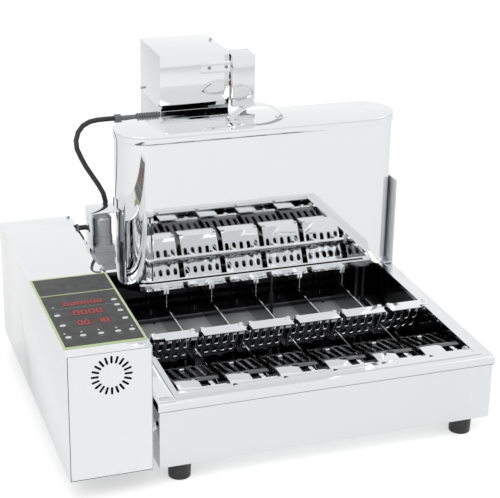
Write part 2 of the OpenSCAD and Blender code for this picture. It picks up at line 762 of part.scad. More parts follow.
// Outline of one gear with involute flanks on its root circle
module gear2d(m, n, backlash) {
    rp = m * n / 2;
    rb = rp * cos(20);
    ra = rp + 0.9 * m;
    rr = rp - 1.15 * m;
    half = 90 / n - backlash / rp * 90 / PI;
    inv_pitch = tan(20) * 180 / PI - 20;
    flank = [for (i = [0:6]) let(r = rb + (ra - rb) * i / 6, a = acos(rb / r))
        [r, half + inv_pitch - (tan(a) * 180 / PI - a)]];
    side = [for (p = flank) [p[0] * cos(p[1]), p[0] * sin(p[1])]];
    other = [for (i = [6:-1:0]) [side[i][0], -side[i][1]]];
    foot = [(rr - 0.3) * cos(flank[0][1]), (rr - 0.3) * sin(flank[0][1])];
    circle(r = rr);
    for (k = [0:n - 1]) rotate(k * 360 / n)
        polygon(concat([[foot[0], foot[1]]], side, other, [[foot[0], -foot[1]]]));
}

module dosing_pinion() {
    reach = channel_x1 - 0.5;
    color(brass) machine() {
        translate([rack_x - rack_w / 2, pinion_y, pinion_z]) rotate([90, 0, 90])
            linear_extrude(rack_w) rotate(180) gear2d(gear_m, pinion_teeth, mesh_backlash / 2);
        bar_x(drive_x1 - 28, pinion_y, pinion_z, shaft_d, reach - drive_x1 + 28);
    }
}

module drive_channel() {
    tab_w = 49;
    tab_z0 = drive_z1 - 33;
    tab_z1 = drive_z1 - 15;
    color(steel) machine() difference() {
        union() {
            block([channel_x0, channel_y0, channel_z0], [channel_x1, channel_y0 + sheet, channel_z1]);
            block([channel_x0, channel_y0, channel_z0], [channel_x0 + sheet, drive_y0, channel_z1]);
            block([channel_x1 - sheet, channel_y0, channel_z0], [channel_x1, channel_y1, channel_z1]);
            block([drive_x1, channel_y1 - sheet, channel_z0], [channel_x1, channel_y1, channel_z1]);
            block([channel_x0, channel_y0, channel_z1 - sheet], [channel_x1, channel_y1, channel_z1]);
            block([drive_x1 - tab_w + 2, drive_y0 - sheet, tab_z0], [channel_x0 + sheet, drive_y0, tab_z1]);
        }
        bar_x(channel_x1 - 5, pinion_y, pinion_z, shaft_d + 2 * fit_gap, 10);
    }
}

module lead_fittings() {
    y = drive_y0 + 8;
    z = lid_top - 5;
    x = drive_x0;
    color(dark_steel) machine() {
        bar_x(x - 38, y, z, 9, 38);
        for (i = [0:8]) bar_x(x - 4 - i * 4, y, z, 12, 2.2);
        bar_x(x - 62, y, z, 8, 24);
        translate([x - 72, y, z]) rotate([0, 90, 0]) cylinder(d = 14, h = 10, $fn = 6);
        difference() {
            bar_x(ctl_x1 - sheet, 437, 214, lead_d + 5, sheet + 2);
            bar_x(ctl_x1 - 5, 437, 214, lead_d + 1, 5);
        }
    }
}

// One ring of the lead's tube, square to the centreline at point i
function lead_ring(i, sides) = let(
        n = len(lead_points) - 1,
        dir = unit(lead_points[min(i + 1, n)] - lead_points[max(i - 1, 0)]),
        u = unit(cross(dir, [0, 1, 0])),
        v = cross(dir, u))
    [for (s = [0:sides - 1]) lead_points[i] + lead_d / 2 * (u * cos(360 * s / sides) + v * sin(360 * s / sides))];

module drive_lead() {
    sides = 10;
    rings = len(lead_points);
    points = [for (i = [0:rings - 1]) each lead_ring(i, sides)];
    walls = [for (i = [0:rings - 2], s = [0:sides - 1])
        [i * sides + s, i * sides + (s + 1) % sides, (i + 1) * sides + (s + 1) % sides, (i + 1) * sides + s]];
    caps = [[for (s = [sides - 1:-1:0]) s], [for (s = [0:sides - 1]) (rings - 1) * sides + s]];
    color(black) machine() polyhedron(points = points, faces = concat(walls, caps), convexity = 4);
}

// A pan-head screw whose head rises from the origin along +Z
module screw_head(d) {
    difference() {
        cylinder(d1 = d, d2 = d * 0.8, h = d * 0.3);
        for (a = [0, 90]) rotate(a) translate([-d * 0.3, -d * 0.06, d * 0.15]) cube([d * 0.6, d * 0.12, d]);
    }
}

module screws() {
    tab_y = drive_y0 - sheet;
    color(dark_steel) machine() {
        for (x = [drive_x1 - 33, drive_x1 - 5]) translate([x, tab_y, drive_z1 - 24]) rotate([90, 0, 0]) screw_head(6);
        translate([drive_x1 - 4, drive_y1 - 33, drive_z1]) screw_head(5);
        for (y = [drive_y0 + 5, drive_y1 - 5]) translate([drive_x0, y, drive_z0 + 4]) rotate([0, -90, 0]) screw_head(4);
        for (y = [ctl_y1 - 8, panel_y1 + 12]) translate([ctl_x1 - 5, y, ctl_z1]) screw_head(5);
        for (z = [z_top + 13, z_top + 106]) translate([bracket_x + bracket_t, hopper_y + 22, z])
            rotate([0, 90, 0]) screw_head(bolt_d);
    }
}

// ---------------------------------------------------------------- control box

module control_housing() {
    color(steel) machine() difference() {
        union() {
            open_box([ctl_x0, ctl_y0, ctl_z0 - sheet], [ctl_x1, ctl_y1, ctl_z1], sheet, [0, -1, 0]);
            for (y = [60, ctl_y1 - 90]) bar_x(ctl_x1 - sheet, y, ctl_z0 + 20, 12, ctl_gap + lip_proud + sheet);
        }
        block([ctl_x0 + sheet, ctl_y0 - 1, ctl_z0 - sheet - 1], [ctl_x1 - sheet, ctl_y1 - sheet, ctl_z0 + sheet]);
        block([panel_x0 + 7, panel_y0 + 14, ctl_z1 - 5], [panel_x1 - 7, header_y - 8, ctl_z1 + 1]);
        bar_x(ctl_x1 - 5, 437, 214, lead_d + 5, 10);
        bar_y(window_x, ctl_y1 - 5, ctl_z0 + 30, 20, 10);
    }
}

module control_front() {
    a = [ctl_x0 + sheet, ctl_y0, ctl_z0];
    b = [ctl_x1 - sheet, ctl_y0 + sheet, ctl_z1 - sheet];
    color(steel) machine() {
        difference() {
            block(a, b);
            for (i = [0:vent_slots - 1]) translate([vent_x, ctl_y0 - 1, vent_z]) rotate([0, i * 360 / vent_slots, 0])
                translate([0, sheet + 2, 0]) rotate([90, 0, 0]) linear_extrude(sheet + 2) slot2d(3.2, 17, 28);
        }
        for (x = [a[0], b[0] - sheet]) block([x, a[1], a[2]], [x + sheet, a[1] + 12, b[2]]);
    }
}

module control_base() {
    color(dark_steel) machine() {
        block([ctl_x0 + sheet, ctl_y0 + 12, ctl_z0], [ctl_x1 - sheet, ctl_y1 - sheet, ctl_z0 + sheet]);
        for (x = [ctl_x0 + sheet, ctl_x1 - 2 * sheet])
            block([x, ctl_y0 + 13, ctl_z0], [x + sheet, ctl_y1 - sheet, ctl_z0 + 12]);
    }
}

module panel_bezel() {
    color(lime) machine() difference() {
        block([panel_x0, panel_y0, ctl_z1], [panel_x1, panel_y1, ctl_z1 + panel_t]);
        block([panel_x0 + border, panel_y0 + border, ctl_z1 - 1], [panel_x1 - border, header_y, ctl_z1 + 3]);
        block([panel_x0 + border, header_y + 2, ctl_z1 - 1], [panel_x1 - border, panel_y1 - border, ctl_z1 + 3]);
    }
}

// Places its children at each panel spot in a list
module at_spots(spots) {
    for (p = spots) translate([window_x + p[0], panel_y0 + p[1], ctl_z1]) children();
}

module panel_plate() {
    color(black) machine() difference() {
        union() {
            block([panel_x0 + border, panel_y0 + border, ctl_z1], [panel_x1 - border, header_y, ctl_z1 + panel_t]);
            block([panel_x0 + border, header_y + 2, ctl_z1], [panel_x1 - border, panel_y1 - border, ctl_z1 + panel_t]);
        }
        at_spots(key_spots) translate([-key_size[0] / 2 - key_gap, -key_size[1] / 2 - key_gap, -1])
            cube([key_size[0] + 2 * key_gap, key_size[1] + 2 * key_gap, 5]);
        at_spots(lamp_spots) translate([0, 0, -1]) cylinder(d = 3, h = 5, $fn = 24);
        for (w = windows) translate([window_x - w[1] / 2, panel_y0 + w[0] - w[2] / 2, ctl_z1 + 0.4])
            cube([w[1], w[2], 3]);
    }
}

module display_windows() {
    color(red) machine() for (w = windows)
        translate([window_x - w[1] / 2, panel_y0 + w[0] - w[2] / 2, ctl_z1 + 0.4]) cube([w[1], w[2], 0.9]);
}

module status_lamps() {
    color(ivory) machine() at_spots(lamp_spots) {
        translate([0, 0, -5]) cylinder(d = 3, h = 5 + panel_t, $fn = 24);
        translate([0, 0, panel_t]) cylinder(d = 3, h = 0.3, $fn = 24);
    }
}

module control_board() {
    z = ctl_z1 - sheet - 9;
    color(board_green) machine() {
        block([panel_x0 + 9, panel_y0 + 16, z - 1.6], [panel_x1 - 9, header_y - 10, z]);
        at_spots(lamp_spots) translate([-2, -2, z - ctl_z1]) cube([4, 4, ctl_z1 - 5 - z]);
        for (y = [panel_y0 + 10, header_y - 12]) {
            block([ctl_x0 + sheet, y, z - 1.6], [panel_x0 + 12, y + 8, z]);
            block([panel_x1 - 12, y, z - 1.6], [ctl_x1 - sheet, y + 8, z]);
        }
    }
}

// One key: cap in the panel's hole, wider foot below, short of the board by its travel
module key_cap(i) {
    foot = 5;
    color(ivory) machine() at_spots([key_spots[i]]) {
        translate([-key_size[0] / 2, -key_size[1] / 2, -foot])
            cube([key_size[0], key_size[1], foot + panel_t + key_proud]);
        translate([0, 0, -9 - sheet + key_travel + 0.2]) cylinder(d = 3, h = 9 + sheet - foot, $fn = 24);
    }
}

module fan_frame() {
    depth = 20;
    y0 = ctl_y0 + sheet;
    color(black) machine() translate([vent_x, y0, vent_z]) rotate([-90, 0, 0]) {
        difference() {
            translate([-fan_size / 2, -fan_size / 2, 0]) cube([fan_size, fan_size, depth]);
            translate([0, 0, -1]) cylinder(d = fan_size - 4, h = depth + 2);
        }
        translate([0, 0, depth - 4]) cylinder(d = fan_size * 0.42, h = 4);
        for (a = [45:90:315]) rotate(a) translate([0, -1.5, depth - 3]) cube([fan_size / 2 - 1, 3, 3]);
        translate([0, 0, depth - 8]) cylinder(d = 3, h = 5);
    }
}

module fan_rotor() {
    blades = 7;
    y0 = ctl_y0 + sheet + 3;
    color(black) machine() translate([vent_x, y0, vent_z]) rotate([-90, 0, 0]) difference() {
        union() {
            cylinder(d = fan_size * 0.4, h = 12.5);
            for (i = [0:blades - 1]) rotate(i * 360 / blades) translate([0, 0, 5.5]) rotate([38, 0, 0])
                translate([fan_size * 0.18, -6, -0.6]) cube([fan_size * 0.25, 12, 1.2]);
        }
        translate([0, 0, 6]) cylinder(d = 3 + 2 * fit_gap, h = 10);
    }
}

module mains_gland() {
    color(black) machine() translate([window_x, ctl_y1 - sheet, ctl_z0 + 30]) rotate([-90, 0, 0]) difference() {
        union() {
            cylinder(d = 20, h = sheet);
            translate([0, 0, sheet]) cylinder(d = 25, h = 4, $fn = 6);
            translate([0, 0, sheet + 4]) cylinder(d1 = 20, d2 = 14, h = 12);
        }
        translate([0, 0, 5]) cylinder(d = 8, h = 20);
    }
}

tank_casing();
oil_pan();
linkage_cover();
feet();
front_sill();
front_dividers();
rear_dividers();
divider_rail();
heating_element();
thermostat_probe();
flip_shaft();
flip_forks();
flip_crank();
discharge_shaft();
discharge_forks();
discharge_crank();
shaft_bushes();
coupling_rod();
drive_crank();
gearmotor();
motor_bracket();
hopper_shell();
nozzles();
plungers();
plunger_beam();
lift_rack();
hopper_lid();
lid_handle();
hopper_bracket();
drive_box();
drive_column();
dosing_motor();
dosing_pinion();
drive_channel();
lead_fittings();
drive_lead();
screws();
control_housing();
control_front();
control_base();
panel_bezel();
panel_plate();
display_windows();
status_lamps();
control_board();
fan_frame();
fan_rotor();
mains_gland();
key_cap(0);  // key_left_1
key_cap(1);  // key_left_2
key_cap(2);  // key_right_1
key_cap(3);  // key_right_2
key_cap(4);  // key_right_3
key_cap(5);  // key_right_4
key_cap(6);  // key_bottom_1
key_cap(7);  // key_bottom_2
key_cap(8);  // key_bottom_3
key_cap(9);  // key_bottom_4
key_cap(10);  // key_bottom_5
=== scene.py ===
"""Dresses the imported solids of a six-lane ring fryer in sheet steel, panel and lead."""

import json
import logging
import math
from dataclasses import dataclass, field
from enum import Enum
from typing import Sequence

import bpy
from mathutils import Matrix, Vector


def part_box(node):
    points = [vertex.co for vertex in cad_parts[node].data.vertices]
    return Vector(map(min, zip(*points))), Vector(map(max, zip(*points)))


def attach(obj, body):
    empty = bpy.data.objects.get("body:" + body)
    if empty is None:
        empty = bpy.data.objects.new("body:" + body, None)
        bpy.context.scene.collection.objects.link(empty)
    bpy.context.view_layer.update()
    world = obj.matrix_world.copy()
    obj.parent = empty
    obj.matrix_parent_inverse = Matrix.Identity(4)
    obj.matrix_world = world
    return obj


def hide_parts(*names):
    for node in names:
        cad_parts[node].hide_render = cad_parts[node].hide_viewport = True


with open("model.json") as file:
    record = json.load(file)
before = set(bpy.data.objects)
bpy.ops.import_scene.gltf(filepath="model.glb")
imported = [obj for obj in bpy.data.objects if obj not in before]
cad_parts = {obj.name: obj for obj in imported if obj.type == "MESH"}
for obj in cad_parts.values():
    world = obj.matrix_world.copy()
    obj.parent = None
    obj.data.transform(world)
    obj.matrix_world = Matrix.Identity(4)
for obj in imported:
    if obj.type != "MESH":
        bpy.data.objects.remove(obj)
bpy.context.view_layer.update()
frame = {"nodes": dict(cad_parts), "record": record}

LOG = logging.getLogger("ring_fryer")
MM = 0.001
IMAGE_SIZE = (500, 498)
Point = tuple[float, float, float]
ORIGIN_MM: Point = (58.6, -292.25, 0.0)
SMOOTH_ANGLE = math.radians(35)
BEVEL_ANGLE = math.radians(40)


def place(x: float, y: float, z: float) -> Point:
    """Turns machine millimetres, from the middle of the tank's front lip, to frame metres."""
    return ((x + ORIGIN_MM[0]) * MM, (y + ORIGIN_MM[1]) * MM, z * MM)


# ---------------------------------------------------------------- materials


class Shader:
    """One material's node tree, with short calls for the nodes that the finishes share."""

    def __init__(self, name: str) -> None:
        """Makes an empty material of that name."""
        self.material = bpy.data.materials.new(name)
        self.material.use_nodes = True
        self.tree = self.material.node_tree
        self.tree.nodes.clear()
        self.output = self.tree.nodes.new("ShaderNodeOutputMaterial")

    def node(self, kind: str, **values: object) -> bpy.types.Node:
        """Adds a node and sets its properties by name."""
        made = self.tree.nodes.new(kind)
        for key, value in values.items():
            setattr(made, key, value)
        return made

    def link(self, source: bpy.types.NodeSocket, target: bpy.types.NodeSocket) -> None:
        """Joins two sockets."""
        self.tree.links.new(source, target)

    def coords(self) -> bpy.types.NodeSocket:
        """Returns the Object coordinates."""
        return self.node("ShaderNodeTexCoord").outputs["Object"]

    def group(self, tree: bpy.types.NodeTree, **inputs: float) -> bpy.types.Node:
        """Places a shared effect fed by Object coordinates.

        Args:
            tree: the shared node group.
            inputs: values for its inputs, with spaces written as underscores.

        Returns:
            The group node.
        """
        made = self.node("ShaderNodeGroup", node_tree=tree)
        self.link(self.coords(), made.inputs["Coords"])
        for key, value in inputs.items():
            made.inputs[key.replace("_", " ")].default_value = value
        return made

    def principled(self, color: Sequence[float], roughness: float, metallic: float = 0.0,
                   **sockets: float) -> bpy.types.Node:
        """Adds the Principled shader and joins it to the output."""
        made = self.node("ShaderNodeBsdfPrincipled")
        made.inputs["Base Color"].default_value = (*color[:3], 1.0)
        made.inputs["Roughness"].default_value = roughness
        made.inputs["Metallic"].default_value = metallic
        for key, value in sockets.items():
            made.inputs[key.replace("_", " ")].default_value = value
        self.link(made.outputs["BSDF"], self.output.inputs["Surface"])
        return made

    def uneven(self, bsdf: bpy.types.Node, tree: bpy.types.NodeTree, wavelength: float,
               depth: float, strength: float = 1.0) -> None:
        """Gives a shader the unevenness of its surface.

        Args:
            bsdf: the shader.
            tree: the shared ripple group.
            wavelength: the unevenness' spacing in metres.
            depth: its height in metres.
            strength: how much of it the normal takes.
        """
        ripple = self.group(tree, Wavelength=wavelength, Depth=depth)
        bump = self.node("ShaderNodeBump")
        bump.inputs["Strength"].default_value = strength
        bump.inputs["Distance"].default_value = 1.0
        self.link(ripple.outputs["Height"], bump.inputs["Height"])
        self.link(bump.outputs["Normal"], bsdf.inputs["Normal"])


class SharedEffects:
    """Node groups that several finishes use, each built once."""

    def __init__(self) -> None:
        """Builds the groups."""
        self.brushed = self._brushed()
        self.ripple = self._ripple()
        self.smudge = self._smudge()

    @staticmethod
    def _new(name: str, inputs: dict[str, float], outputs: dict[str, str]) -> bpy.types.NodeTree:
        """Makes a group with a Coords input, number inputs and typed outputs."""
        tree = bpy.data.node_groups.new(name, "ShaderNodeTree")
        tree.interface.new_socket("Coords", in_out="INPUT", socket_type="NodeSocketVector")
        for key, value in inputs.items():
            made = tree.interface.new_socket(key, in_out="INPUT", socket_type="NodeSocketFloat")
            made.default_value = value
        for key, kind in outputs.items():
            tree.interface.new_socket(key, in_out="OUTPUT", socket_type=kind)
        tree.nodes.new("NodeGroupInput")
        tree.nodes.new("NodeGroupOutput")
        return tree

    @staticmethod
    def _ends(tree: bpy.types.NodeTree) -> tuple[bpy.types.Node, bpy.types.Node]:
        """Returns a group's input and output nodes."""
        return tree.nodes["Group Input"], tree.nodes["Group Output"]

    def _brushed(self) -> bpy.types.NodeTree:
        """Fine lines along X that vary roughness and normal."""
        tree = self._new("brushed_lines",
                         {"Roughness Low": 0.1, "Roughness High": 0.3, "Height": 0.00002},
                         {"Roughness": "NodeSocketFloat", "Normal": "NodeSocketVector"})
        start, end = self._ends(tree)
        mapping = tree.nodes.new("ShaderNodeMapping")
        mapping.inputs["Scale"].default_value = (6.0, 900.0, 900.0)
        noise = tree.nodes.new("ShaderNodeTexNoise")
        noise.inputs["Scale"].default_value = 1.0
        noise.inputs["Detail"].default_value = 3.0
        ramp = tree.nodes.new("ShaderNodeMapRange")
        ramp.inputs["From Min"].default_value = 0.3
        ramp.inputs["From Max"].default_value = 0.7
        bump = tree.nodes.new("ShaderNodeBump")
        bump.inputs["Strength"].default_value = 0.35
        bump.inputs["Distance"].default_value = 1.0
        scaled = tree.nodes.new("ShaderNodeMath")
        scaled.operation = "MULTIPLY"
        links = tree.links
        links.new(start.outputs["Coords"], mapping.inputs["Vector"])
        links.new(mapping.outputs["Vector"], noise.inputs["Vector"])
        links.new(noise.outputs["Fac"], ramp.inputs["Value"])
        links.new(start.outputs["Roughness Low"], ramp.inputs["To Min"])
        links.new(start.outputs["Roughness High"], ramp.inputs["To Max"])
        links.new(noise.outputs["Fac"], scaled.inputs[0])
        links.new(start.outputs["Height"], scaled.inputs[1])
        links.new(scaled.outputs[0], bump.inputs["Height"])
        links.new(ramp.outputs["Result"], end.inputs["Roughness"])
        links.new(bump.outputs["Normal"], end.inputs["Normal"])
        return tree

    def _ripple(self) -> bpy.types.NodeTree:
        """The slow unevenness of polished sheet, as a height in metres."""
        tree = self._new("sheet_ripple", {"Wavelength": 0.12, "Depth": 0.0004},
                         {"Height": "NodeSocketFloat"})
        start, end = self._ends(tree)
        inverse = tree.nodes.new("ShaderNodeMath")
        inverse.operation = "DIVIDE"
        inverse.inputs[0].default_value = 1.0
        noise = tree.nodes.new("ShaderNodeTexNoise")
        noise.inputs["Detail"].default_value = 0.0
        scaled = tree.nodes.new("ShaderNodeMath")
        scaled.operation = "MULTIPLY"
        links = tree.links
        links.new(start.outputs["Wavelength"], inverse.inputs[1])
        links.new(start.outputs["Coords"], noise.inputs["Vector"])
        links.new(inverse.outputs[0], noise.inputs["Scale"])
        links.new(noise.outputs["Fac"], scaled.inputs[0])
        links.new(start.outputs["Depth"], scaled.inputs[1])
        links.new(scaled.outputs[0], end.inputs["Height"])
        return tree

    def _smudge(self) -> bpy.types.NodeTree:
        """Handling marks: a soft patchy mask with fine specks."""
        tree = self._new("handling_marks", {"Scale": 14.0, "Low": 0.0, "High": 1.0},
                         {"Value": "NodeSocketFloat"})
        start, end = self._ends(tree)
        noise = tree.nodes.new("ShaderNodeTexNoise")
        noise.inputs["Detail"].default_value = 5.0
        noise.inputs["Roughness"].default_value = 0.62
        ramp = tree.nodes.new("ShaderNodeMapRange")
        ramp.inputs["From Min"].default_value = 0.42
        ramp.inputs["From Max"].default_value = 0.72
        links = tree.links
        links.new(start.outputs["Coords"], noise.inputs["Vector"])
        links.new(start.outputs["Scale"], noise.inputs["Scale"])
        links.new(noise.outputs["Fac"], ramp.inputs["Value"])
        links.new(start.outputs["Low"], ramp.inputs["To Min"])
        links.new(start.outputs["High"], ramp.inputs["To Max"])
        links.new(ramp.outputs["Result"], end.inputs["Value"])
        return tree


@dataclass(frozen=True)
class PolishedSheet:
    """Mirror-polished stainless sheet with slow ripple and faint handling marks."""

    name: str
    color: Point = (0.80, 0.81, 0.82)
    roughness: tuple[float, float] = (0.03, 0.10)
    wavelength: float = 0.22
    depth: float = 0.00012

    def build(self, effects: SharedEffects) -> bpy.types.Material:
        """Returns the material."""
        shader = Shader(self.name)
        bsdf = shader.principled(self.color, self.roughness[0], 1.0)
        low, high = self.roughness
        marks = shader.group(effects.smudge, Scale=9.0, Low=low, High=high)
        shader.link(marks.outputs["Value"], bsdf.inputs["Roughness"])
        shader.uneven(bsdf, effects.ripple, self.wavelength, self.depth)
        return shader.material


@dataclass(frozen=True)
class BrushedSteel:
    """Satin steel with fine lines."""

    name: str
    color: Point = (0.62, 0.63, 0.65)
    roughness: tuple[float, float] = (0.18, 0.34)

    def build(self, effects: SharedEffects) -> bpy.types.Material:
        """Returns the material."""
        shader = Shader(self.name)
        bsdf = shader.principled(self.color, self.roughness[0], 1.0)
        low, high = self.roughness
        lines = shader.group(effects.brushed, Roughness_Low=low, Roughness_High=high)
        shader.link(lines.outputs["Roughness"], bsdf.inputs["Roughness"])
        shader.link(lines.outputs["Normal"], bsdf.inputs["Normal"])
        return shader.material


@dataclass(frozen=True)
class Moulded:
    """Plastic or rubber with a fine moulded grain and light wear in its tone."""

    name: str
    color: Point
    worn: Point
    roughness: tuple[float, float] = (0.35, 0.55)
    grain: float = 0.00003
    grain_spacing: float = 0.0008

    def build(self, effects: SharedEffects) -> bpy.types.Material:
        """Returns the material."""
        shader = Shader(self.name)
        bsdf = shader.principled(self.color, self.roughness[0])
        marks = shader.group(effects.smudge, Scale=30.0, Low=0.0, High=1.0)
        mix = shader.node("ShaderNodeMix", data_type="RGBA")
        mix.inputs[6].default_value = (*self.color, 1.0)
        mix.inputs[7].default_value = (*self.worn, 1.0)
        shader.link(marks.outputs["Value"], mix.inputs[0])
        shader.link(mix.outputs[2], bsdf.inputs["Base Color"])
        low, high = self.roughness
        rough = shader.group(effects.smudge, Scale=60.0, Low=low, High=high)
        shader.link(rough.outputs["Value"], bsdf.inputs["Roughness"])
        shader.uneven(bsdf, effects.ripple, self.grain_spacing, self.grain, 0.5)
        return shader.material


@dataclass(frozen=True)
class PanSteel:
    """Pan steel with a bright rim, painted shade below the rim and a painted pool of light on the
    floor.
    """

    name: str
    clean: Point = (0.80, 0.81, 0.82)
    # painted shade: the dark colour that the pan's inside takes below the rim
    film: Point = (0.035, 0.035, 0.038)
    line_mm: float = 121.0
    # the floor band between these y takes the painted pool of light
    lit_patch_y_mm: tuple[float, float] = (333.0, 416.0)
    floor_mm: float = 46.0
    lit_patch_roughness: float = 0.45

    def _step(self, shader: Shader, value: bpy.types.NodeSocket, edge: float,
              soft: float) -> bpy.types.NodeSocket:
        """Returns a mask that rises from 0 to 1 past an edge.

        Args:
            shader: the material that gets the node.
            value: the coordinate in metres.
            edge: where the mask is half way, in metres.
            soft: half the width of the rise, in metres.

        Returns:
            The mask's socket.
        """
        ramp = shader.node("ShaderNodeMapRange")
        ramp.inputs["From Min"].default_value = edge - soft
        ramp.inputs["From Max"].default_value = edge + soft
        shader.link(value, ramp.inputs["Value"])
        return ramp.outputs["Result"]

    def build(self, effects: SharedEffects) -> bpy.types.Material:
        """Returns the material."""
        shader = Shader(self.name)
        bsdf = shader.principled(self.clean, 0.08, 1.0)
        axes = shader.node("ShaderNodeSeparateXYZ")
        shader.link(shader.coords(), axes.inputs[0])
        above = self._step(shader, axes.outputs["Z"], self.line_mm * MM, 0.0015)
        near = self._step(shader, axes.outputs["Y"], place(0, self.lit_patch_y_mm[0], 0)[1], 0.002)
        far = self._step(shader, axes.outputs["Y"], place(0, self.lit_patch_y_mm[1], 0)[1], 0.002)
        high = self._step(shader, axes.outputs["Z"], self.floor_mm * MM, 0.0008)
        # mask of the painted pool of light: the band between the two y edges
        light_pool_band = shader.node("ShaderNodeMath", operation="SUBTRACT", use_clamp=True)
        shader.link(near, light_pool_band.inputs[0])
        shader.link(far, light_pool_band.inputs[1])
        # the painted pool of light kept to the pan's floor, below floor_mm
        floor = shader.node("ShaderNodeMath", operation="SUBTRACT", use_clamp=True)
        shader.link(light_pool_band.outputs[0], floor.inputs[0])
        shader.link(high, floor.inputs[1])
        bright = shader.node("ShaderNodeMath", operation="MAXIMUM")
        shader.link(above, bright.inputs[0])
        shader.link(floor.outputs[0], bright.inputs[1])
        # below the rim the pan takes the painted shade colour; the rim and the painted pool of
        # light keep the clean steel colour
        mix = shader.node("ShaderNodeMix", data_type="RGBA")
        mix.inputs[6].default_value = (*self.film, 1.0)
        mix.inputs[7].default_value = (*self.clean, 1.0)
        shader.link(bright.outputs[0], mix.inputs[0])
        shader.link(mix.outputs[2], bsdf.inputs["Base Color"])
        # in the painted pool of light the floor turns matte and not metallic, so it reads as lit
        # white
        matte = shader.node("ShaderNodeMath", operation="MULTIPLY_ADD")
        matte.inputs[1].default_value = self.lit_patch_roughness
        marks = shader.group(effects.smudge, Scale=18.0, Low=0.06, High=0.22)
        shader.link(floor.outputs[0], matte.inputs[0])
        shader.link(marks.outputs["Value"], matte.inputs[2])
        shader.link(matte.outputs[0], bsdf.inputs["Roughness"])
        metal = shader.node("ShaderNodeMath", operation="SUBTRACT")
        metal.inputs[0].default_value = 1.0
        shader.link(floor.outputs[0], metal.inputs[1])
        shader.link(metal.outputs[0], bsdf.inputs["Metallic"])
        return shader.material


@dataclass(frozen=True)
class LitDigit:
    """Dim red light of a digit segment, uneven along its length."""

    name: str
    color: Point = (0.55, 0.03, 0.025)
    strength: float = 0.30

    def build(self, effects: SharedEffects) -> bpy.types.Material:
        """Returns the material."""
        shader = Shader(self.name)
        bsdf = shader.principled(self.color, 0.4)
        bsdf.inputs["Emission Color"].default_value = (*self.color, 1.0)
        bsdf.inputs["Emission Strength"].default_value = self.strength
        marks = shader.group(effects.smudge, Scale=220.0, Low=0.3, High=0.6)
        shader.link(marks.outputs["Value"], bsdf.inputs["Roughness"])
        return shader.material


# ---------------------------------------------------------------- studio


